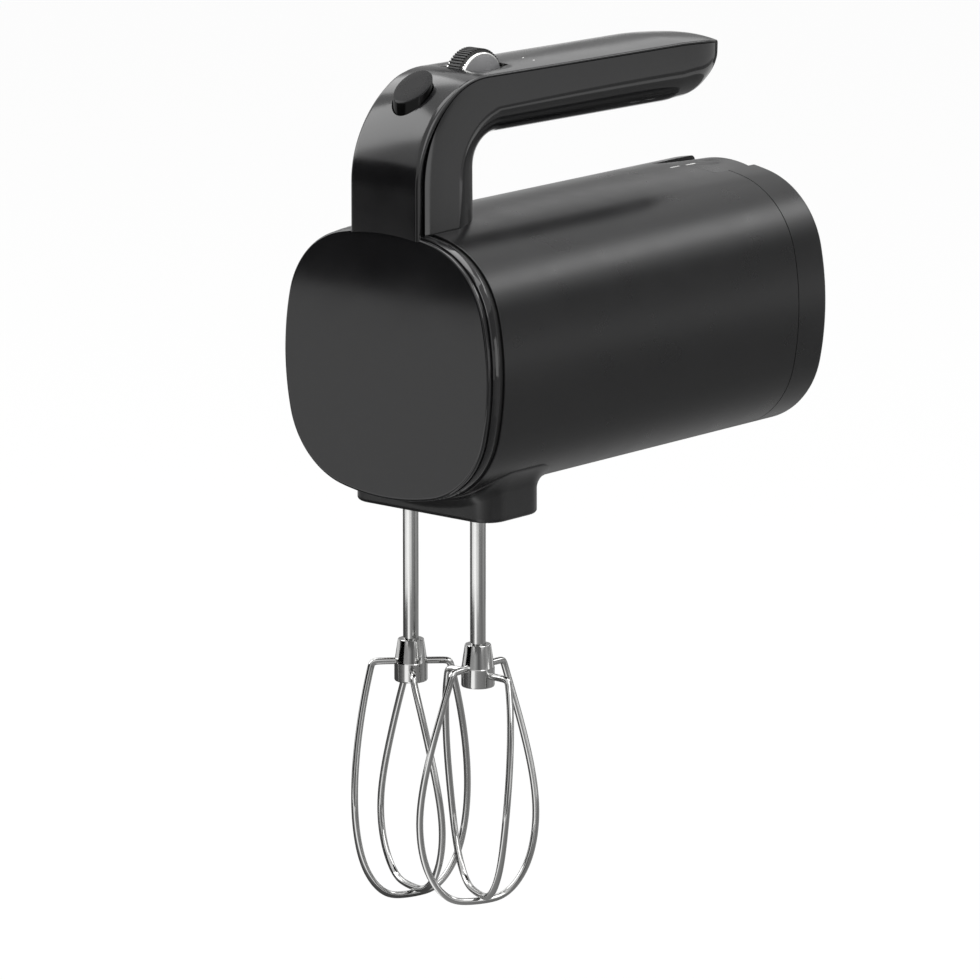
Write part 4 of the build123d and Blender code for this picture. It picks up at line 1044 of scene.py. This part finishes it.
# Camera at the photograph's place
view = {"place": (1876.757, -2145.247, 584.790), "from": (0.6332, -0.7431, 0.2163), "lens": 293.88,
        "sensor": 36.0, "far": 50}
cameraData = bpy.data.cameras.new("camera")
camera = bpy.data.objects.new("camera", cameraData)
scene.collection.objects.link(camera)
cameraData.lens = view["lens"]
cameraData.sensor_width = view["sensor"]
cameraData.clip_end = view["far"]
camera.location = at(*view["place"])
camera.rotation_euler = Vector(view["from"]).to_track_quat("Z", "Y").to_euler()
scene.camera = camera

# Floor, cards and lamps
studio = {"floorSize": 14.0, "floorDrop": 70.0, "floorGlow": 0.95, "cardDrop": 0.4, "skyLight": 0.45,
          "lampAim": (0, 80, 0)}


def seenRays(tree):                           # 1 for what the camera, metal or glass sees, 0 for plain light
    path = addNode(tree, "ShaderNodeLightPath")
    seen = path.outputs["Is Camera Ray"]
    for kind in ("Is Glossy Ray", "Is Transmission Ray"):
        both = addNode(tree, "ShaderNodeMath", {"operation": "MAXIMUM"}, {0: seen, 1: path.outputs[kind]})
        seen = both.outputs[0]
    return seen


def floorMaterial():
    material, tree, shader = newMaterial("palePaper")
    tree.nodes.remove(shader)
    share = addNode(tree, "ShaderNodeMath", {"operation": "MULTIPLY", 1: studio["floorGlow"]},
                    {0: seenRays(tree)})
    paper = addNode(tree, "ShaderNodeBsdfDiffuse", {"Color": linear("#f0f0ef")})
    glow = addNode(tree, "ShaderNodeEmission", {"Color": (1, 1, 1, 1), "Strength": 1.0})
    mix = addNode(tree, "ShaderNodeMixShader", None,
                  {0: share.outputs[0], 1: paper.outputs[0], 2: glow.outputs[0]})
    tree.links.new(mix.outputs[0], tree.nodes["Material Output"].inputs["Surface"])
    return material


def stageSheet(name, points, faces, material):
    mesh = bpy.data.meshes.new(name)
    mesh.from_pydata(points, [], faces)
    mesh.materials.append(material)
    sheet = bpy.data.objects.new(name, mesh)
    scene.collection.objects.link(sheet)
    return sheet


floorZ = cadBox[0].z - studio["floorDrop"] * mm    # below the whisks, also when they are drawn out
cardZ = cadBox[0].z - studio["cardDrop"] * mm
reach = studio["floorSize"] / 2
floorCorners = [(x * reach, y * reach, floorZ) for x, y in ((-1, -1), (1, -1), (1, 1), (-1, 1))]
stageSheet("floor", floorCorners, [(0, 1, 2, 3)], floorMaterial())

# Cards out of the picture, seen only in reflections: they give plastic and steel their darks and streaks
cards = {
    "whiskDisc": {"rings": ((0.001, 0), (0.5, 0)), "tones": (
        (0, 0.07), (0.1, 0.04), (0.24, 0.05), (0.3, 0.08), (0.36, 0.2), (0.385, 0.85), (0.435, 0.85),
        (0.46, 0.35), (0.5, 0.2), (0.6, 0.16), (0.68, 0.12), (0.76, 0.2), (0.82, 0.17), (0.89, 0.24),
        (0.96, 0.2), (1, 0.08))},
    "shaftDisc": {"rings": ((0.5, 0), (0.72, 0)), "tones": (
        (0, 0.06), (0.18, 0.05), (0.22, 0.1), (0.25, 0.6), (0.32, 0.8), (0.39, 0.95), (0.45, 0.7),
        (0.52, 0.58), (0.55, 0.22), (0.62, 0.14), (0.68, 0.13), (0.73, 0.26), (0.77, 0.17), (0.84, 0.17),
        (1, 0.06))},
    "hubRing": {"rings": ((0.36, 0.1), (0.36, 0.15)), "gap": (215, 250), "tones": (
        (0, 0.1), (0.15, 0.03), (0.22, 0.08), (0.29, 0.04), (0.33, 0.1), (0.35, 0.24), (0.4, 0.24),
        (0.45, 0.31), (0.48, 0.2), (0.52, 0.07), (0.55, 0.12), (0.6, 0.23), (0.65, 0.16), (0.71, 0.26),
        (0.78, 0.16), (0.87, 0.16), (1, 0.1))},
    "frontFlag": {"foot": ((-1700, -906), (-100, -906)), "low": 0.0, "high": 0.5, "tone": 0.0},
    "nearCard": {"foot": ((180, -690), (780, -280)), "low": 0.0, "high": 0.32, "tone": 0.17},
    "sideLow": {"foot": ((1030, 310), (110, 1090)), "low": 0.0, "high": 0.09, "tone": 0.36},
    "sideMiddle": {"foot": ((1030, 310), (110, 1090)), "low": 0.09, "high": 0.19, "tone": 0.85},
    "sideHigh": {"foot": ((1030, 310), (110, 1090)), "low": 0.19, "high": 0.5, "tone": 0.38},
    "stripCard": {"foot": ((870, 430), (720, 555)), "low": 0.05, "high": 0.25, "tone": 2.0},
    "rearCard": {"foot": ((90, 1130), (-420, 1020)), "low": 0.0, "high": 0.42, "tone": 0.12},
    "streakCard": {"foot": ((-1100, 1100), (0, 1500)), "low": 0.9, "high": 1.03, "tone": 0.0},
    "lipCard": {"foot": ((1050, -100), (700, 800)), "low": 1.1, "high": 1.5, "tone": 3.5},
    "gripCard": {"foot": ((-800, 600), (-760, 985)), "low": 0.3, "high": 0.75, "tone": 0.4},
    "backCard": {"foot": ((-760, 985), (-720, 1400)), "low": 0.3, "high": 0.555, "tone": 0.3},
}
disc = {"glow": 2.0, "steps": 48}


def hideCard(sheet):
    sheet.visible_camera = False
    sheet.visible_diffuse = False
    sheet.visible_shadow = False


def cardMaterial(name, tone, strength=1.0):
    material, tree, shader = newMaterial(name)
    tree.nodes.remove(shader)
    glow = addNode(tree, "ShaderNodeEmission", {"Color": (tone, tone, tone, 1), "Strength": strength})
    tree.links.new(glow.outputs[0], tree.nodes["Material Output"].inputs["Surface"])
    return material, tree, glow


def discCard(name, card):                     # tones go round from behind by the left, front and right
    middle, turns = at(0, whisk["y"], 0), roundAngles(disc["steps"])
    rings = [[(middle.x + r * math.cos(a), middle.y + r * math.sin(a), cardZ + z) for a in turns]
             for r, z in card["rings"]]
    material, tree, glow = cardMaterial(name, 1.0, disc["glow"])
    place = addNode(tree, "ShaderNodeTexCoord").outputs["Object"]
    facing = math.atan2(view["from"][1], view["from"][0])
    centred = addNode(tree, "ShaderNodeMapping", {"vector_type": "TEXTURE", "Rotation": (0, 0, facing),
                                                  "Location": (middle.x, middle.y, 0)}, {"Vector": place})
    turn = addNode(tree, "ShaderNodeTexGradient", {"gradient_type": "RADIAL"},
                   {"Vector": centred.outputs["Vector"]})
    ramp = addNode(tree, "ShaderNodeValToRGB", None, {"Fac": turn.outputs["Fac"]})
    stops = ramp.color_ramp.elements
    while len(stops) < len(card["tones"]):
        stops.new(0.5)
    for stop, (position, tone) in zip(stops, card["tones"]):
        stop.position = position
        stop.color = (tone, tone, tone, 1)
    tree.links.new(ramp.outputs["Color"], glow.inputs["Color"])
    start, end = [math.radians(a) for a in card.get("gap", (0, 0))]
    gap = [(0, c) for c in range(disc["steps"]) if start < turns[c] < end]
    hideCard(stageSheet(name, *skin(rings, skip=gap), material))


def uprightCard(name, card):
    low, high = cardZ + card["low"] + 0.001, cardZ + card["high"]
    ends = [at(x, y, 0) for x, y in card["foot"]]
    corners = [(c.x, c.y, z) for c, z in zip(ends + ends[::-1], (low, low, high, high))]
    hideCard(stageSheet(name, corners, [(0, 1, 2, 3)], cardMaterial(name, card["tone"])[0]))


for name, card in cards.items():
    if "rings" in card:
        discCard(name, card)
    else:
        uprightCard(name, card)

lamps = {
    "topBox": {"place": (0.05, 0.15, 1.25), "size": (1.1, 1.3), "watts": 17.0},
    "leftBox": {"place": (-1.5, -0.9, 1.05), "size": (1.1, 1.7), "watts": 22.0},
    "rightBox": {"place": (1.6, -0.5, 0.9), "size": (0.8, 1.2), "watts": 9.0},
    "bendBox": {"place": (-1.15, 0.5, 1.02), "size": (0.7, 0.6), "watts": 3.0},
    "streakBox": {"place": (0.65, 1.1, 0.74), "size": (0.9, 0.24), "watts": 2.4},
}
for name, lamp in lamps.items():
    light = bpy.data.lights.new(name, "AREA")
    light.shape = "RECTANGLE"
    light.size, light.size_y = lamp["size"]
    light.energy = lamp["watts"]
    lampObject = bpy.data.objects.new(name, light)
    scene.collection.objects.link(lampObject)
    lampObject.location = lamp["place"]
    aim = at(*studio["lampAim"]) - lampObject.location
    lampObject.rotation_euler = aim.to_track_quat("-Z", "Y").to_euler()
    lampObject.visible_camera = False


def skyLight():                               # white to the eye and in reflections, softer as a light
    world = bpy.data.worlds.new("studioSky")
    scene.world = world
    world.use_nodes = True
    tree = world.node_tree
    strength = addNode(tree, "ShaderNodeMapRange", {"To Min": studio["skyLight"], "To Max": 1.0},
                       {"Value": seenRays(tree)})
    sky = tree.nodes["Background"]
    sky.inputs["Color"].default_value = (1, 1, 1, 1)
    tree.links.new(strength.outputs["Result"], sky.inputs["Strength"])


skyLight()
scene.view_settings.view_transform = "Standard"
print("studio set")
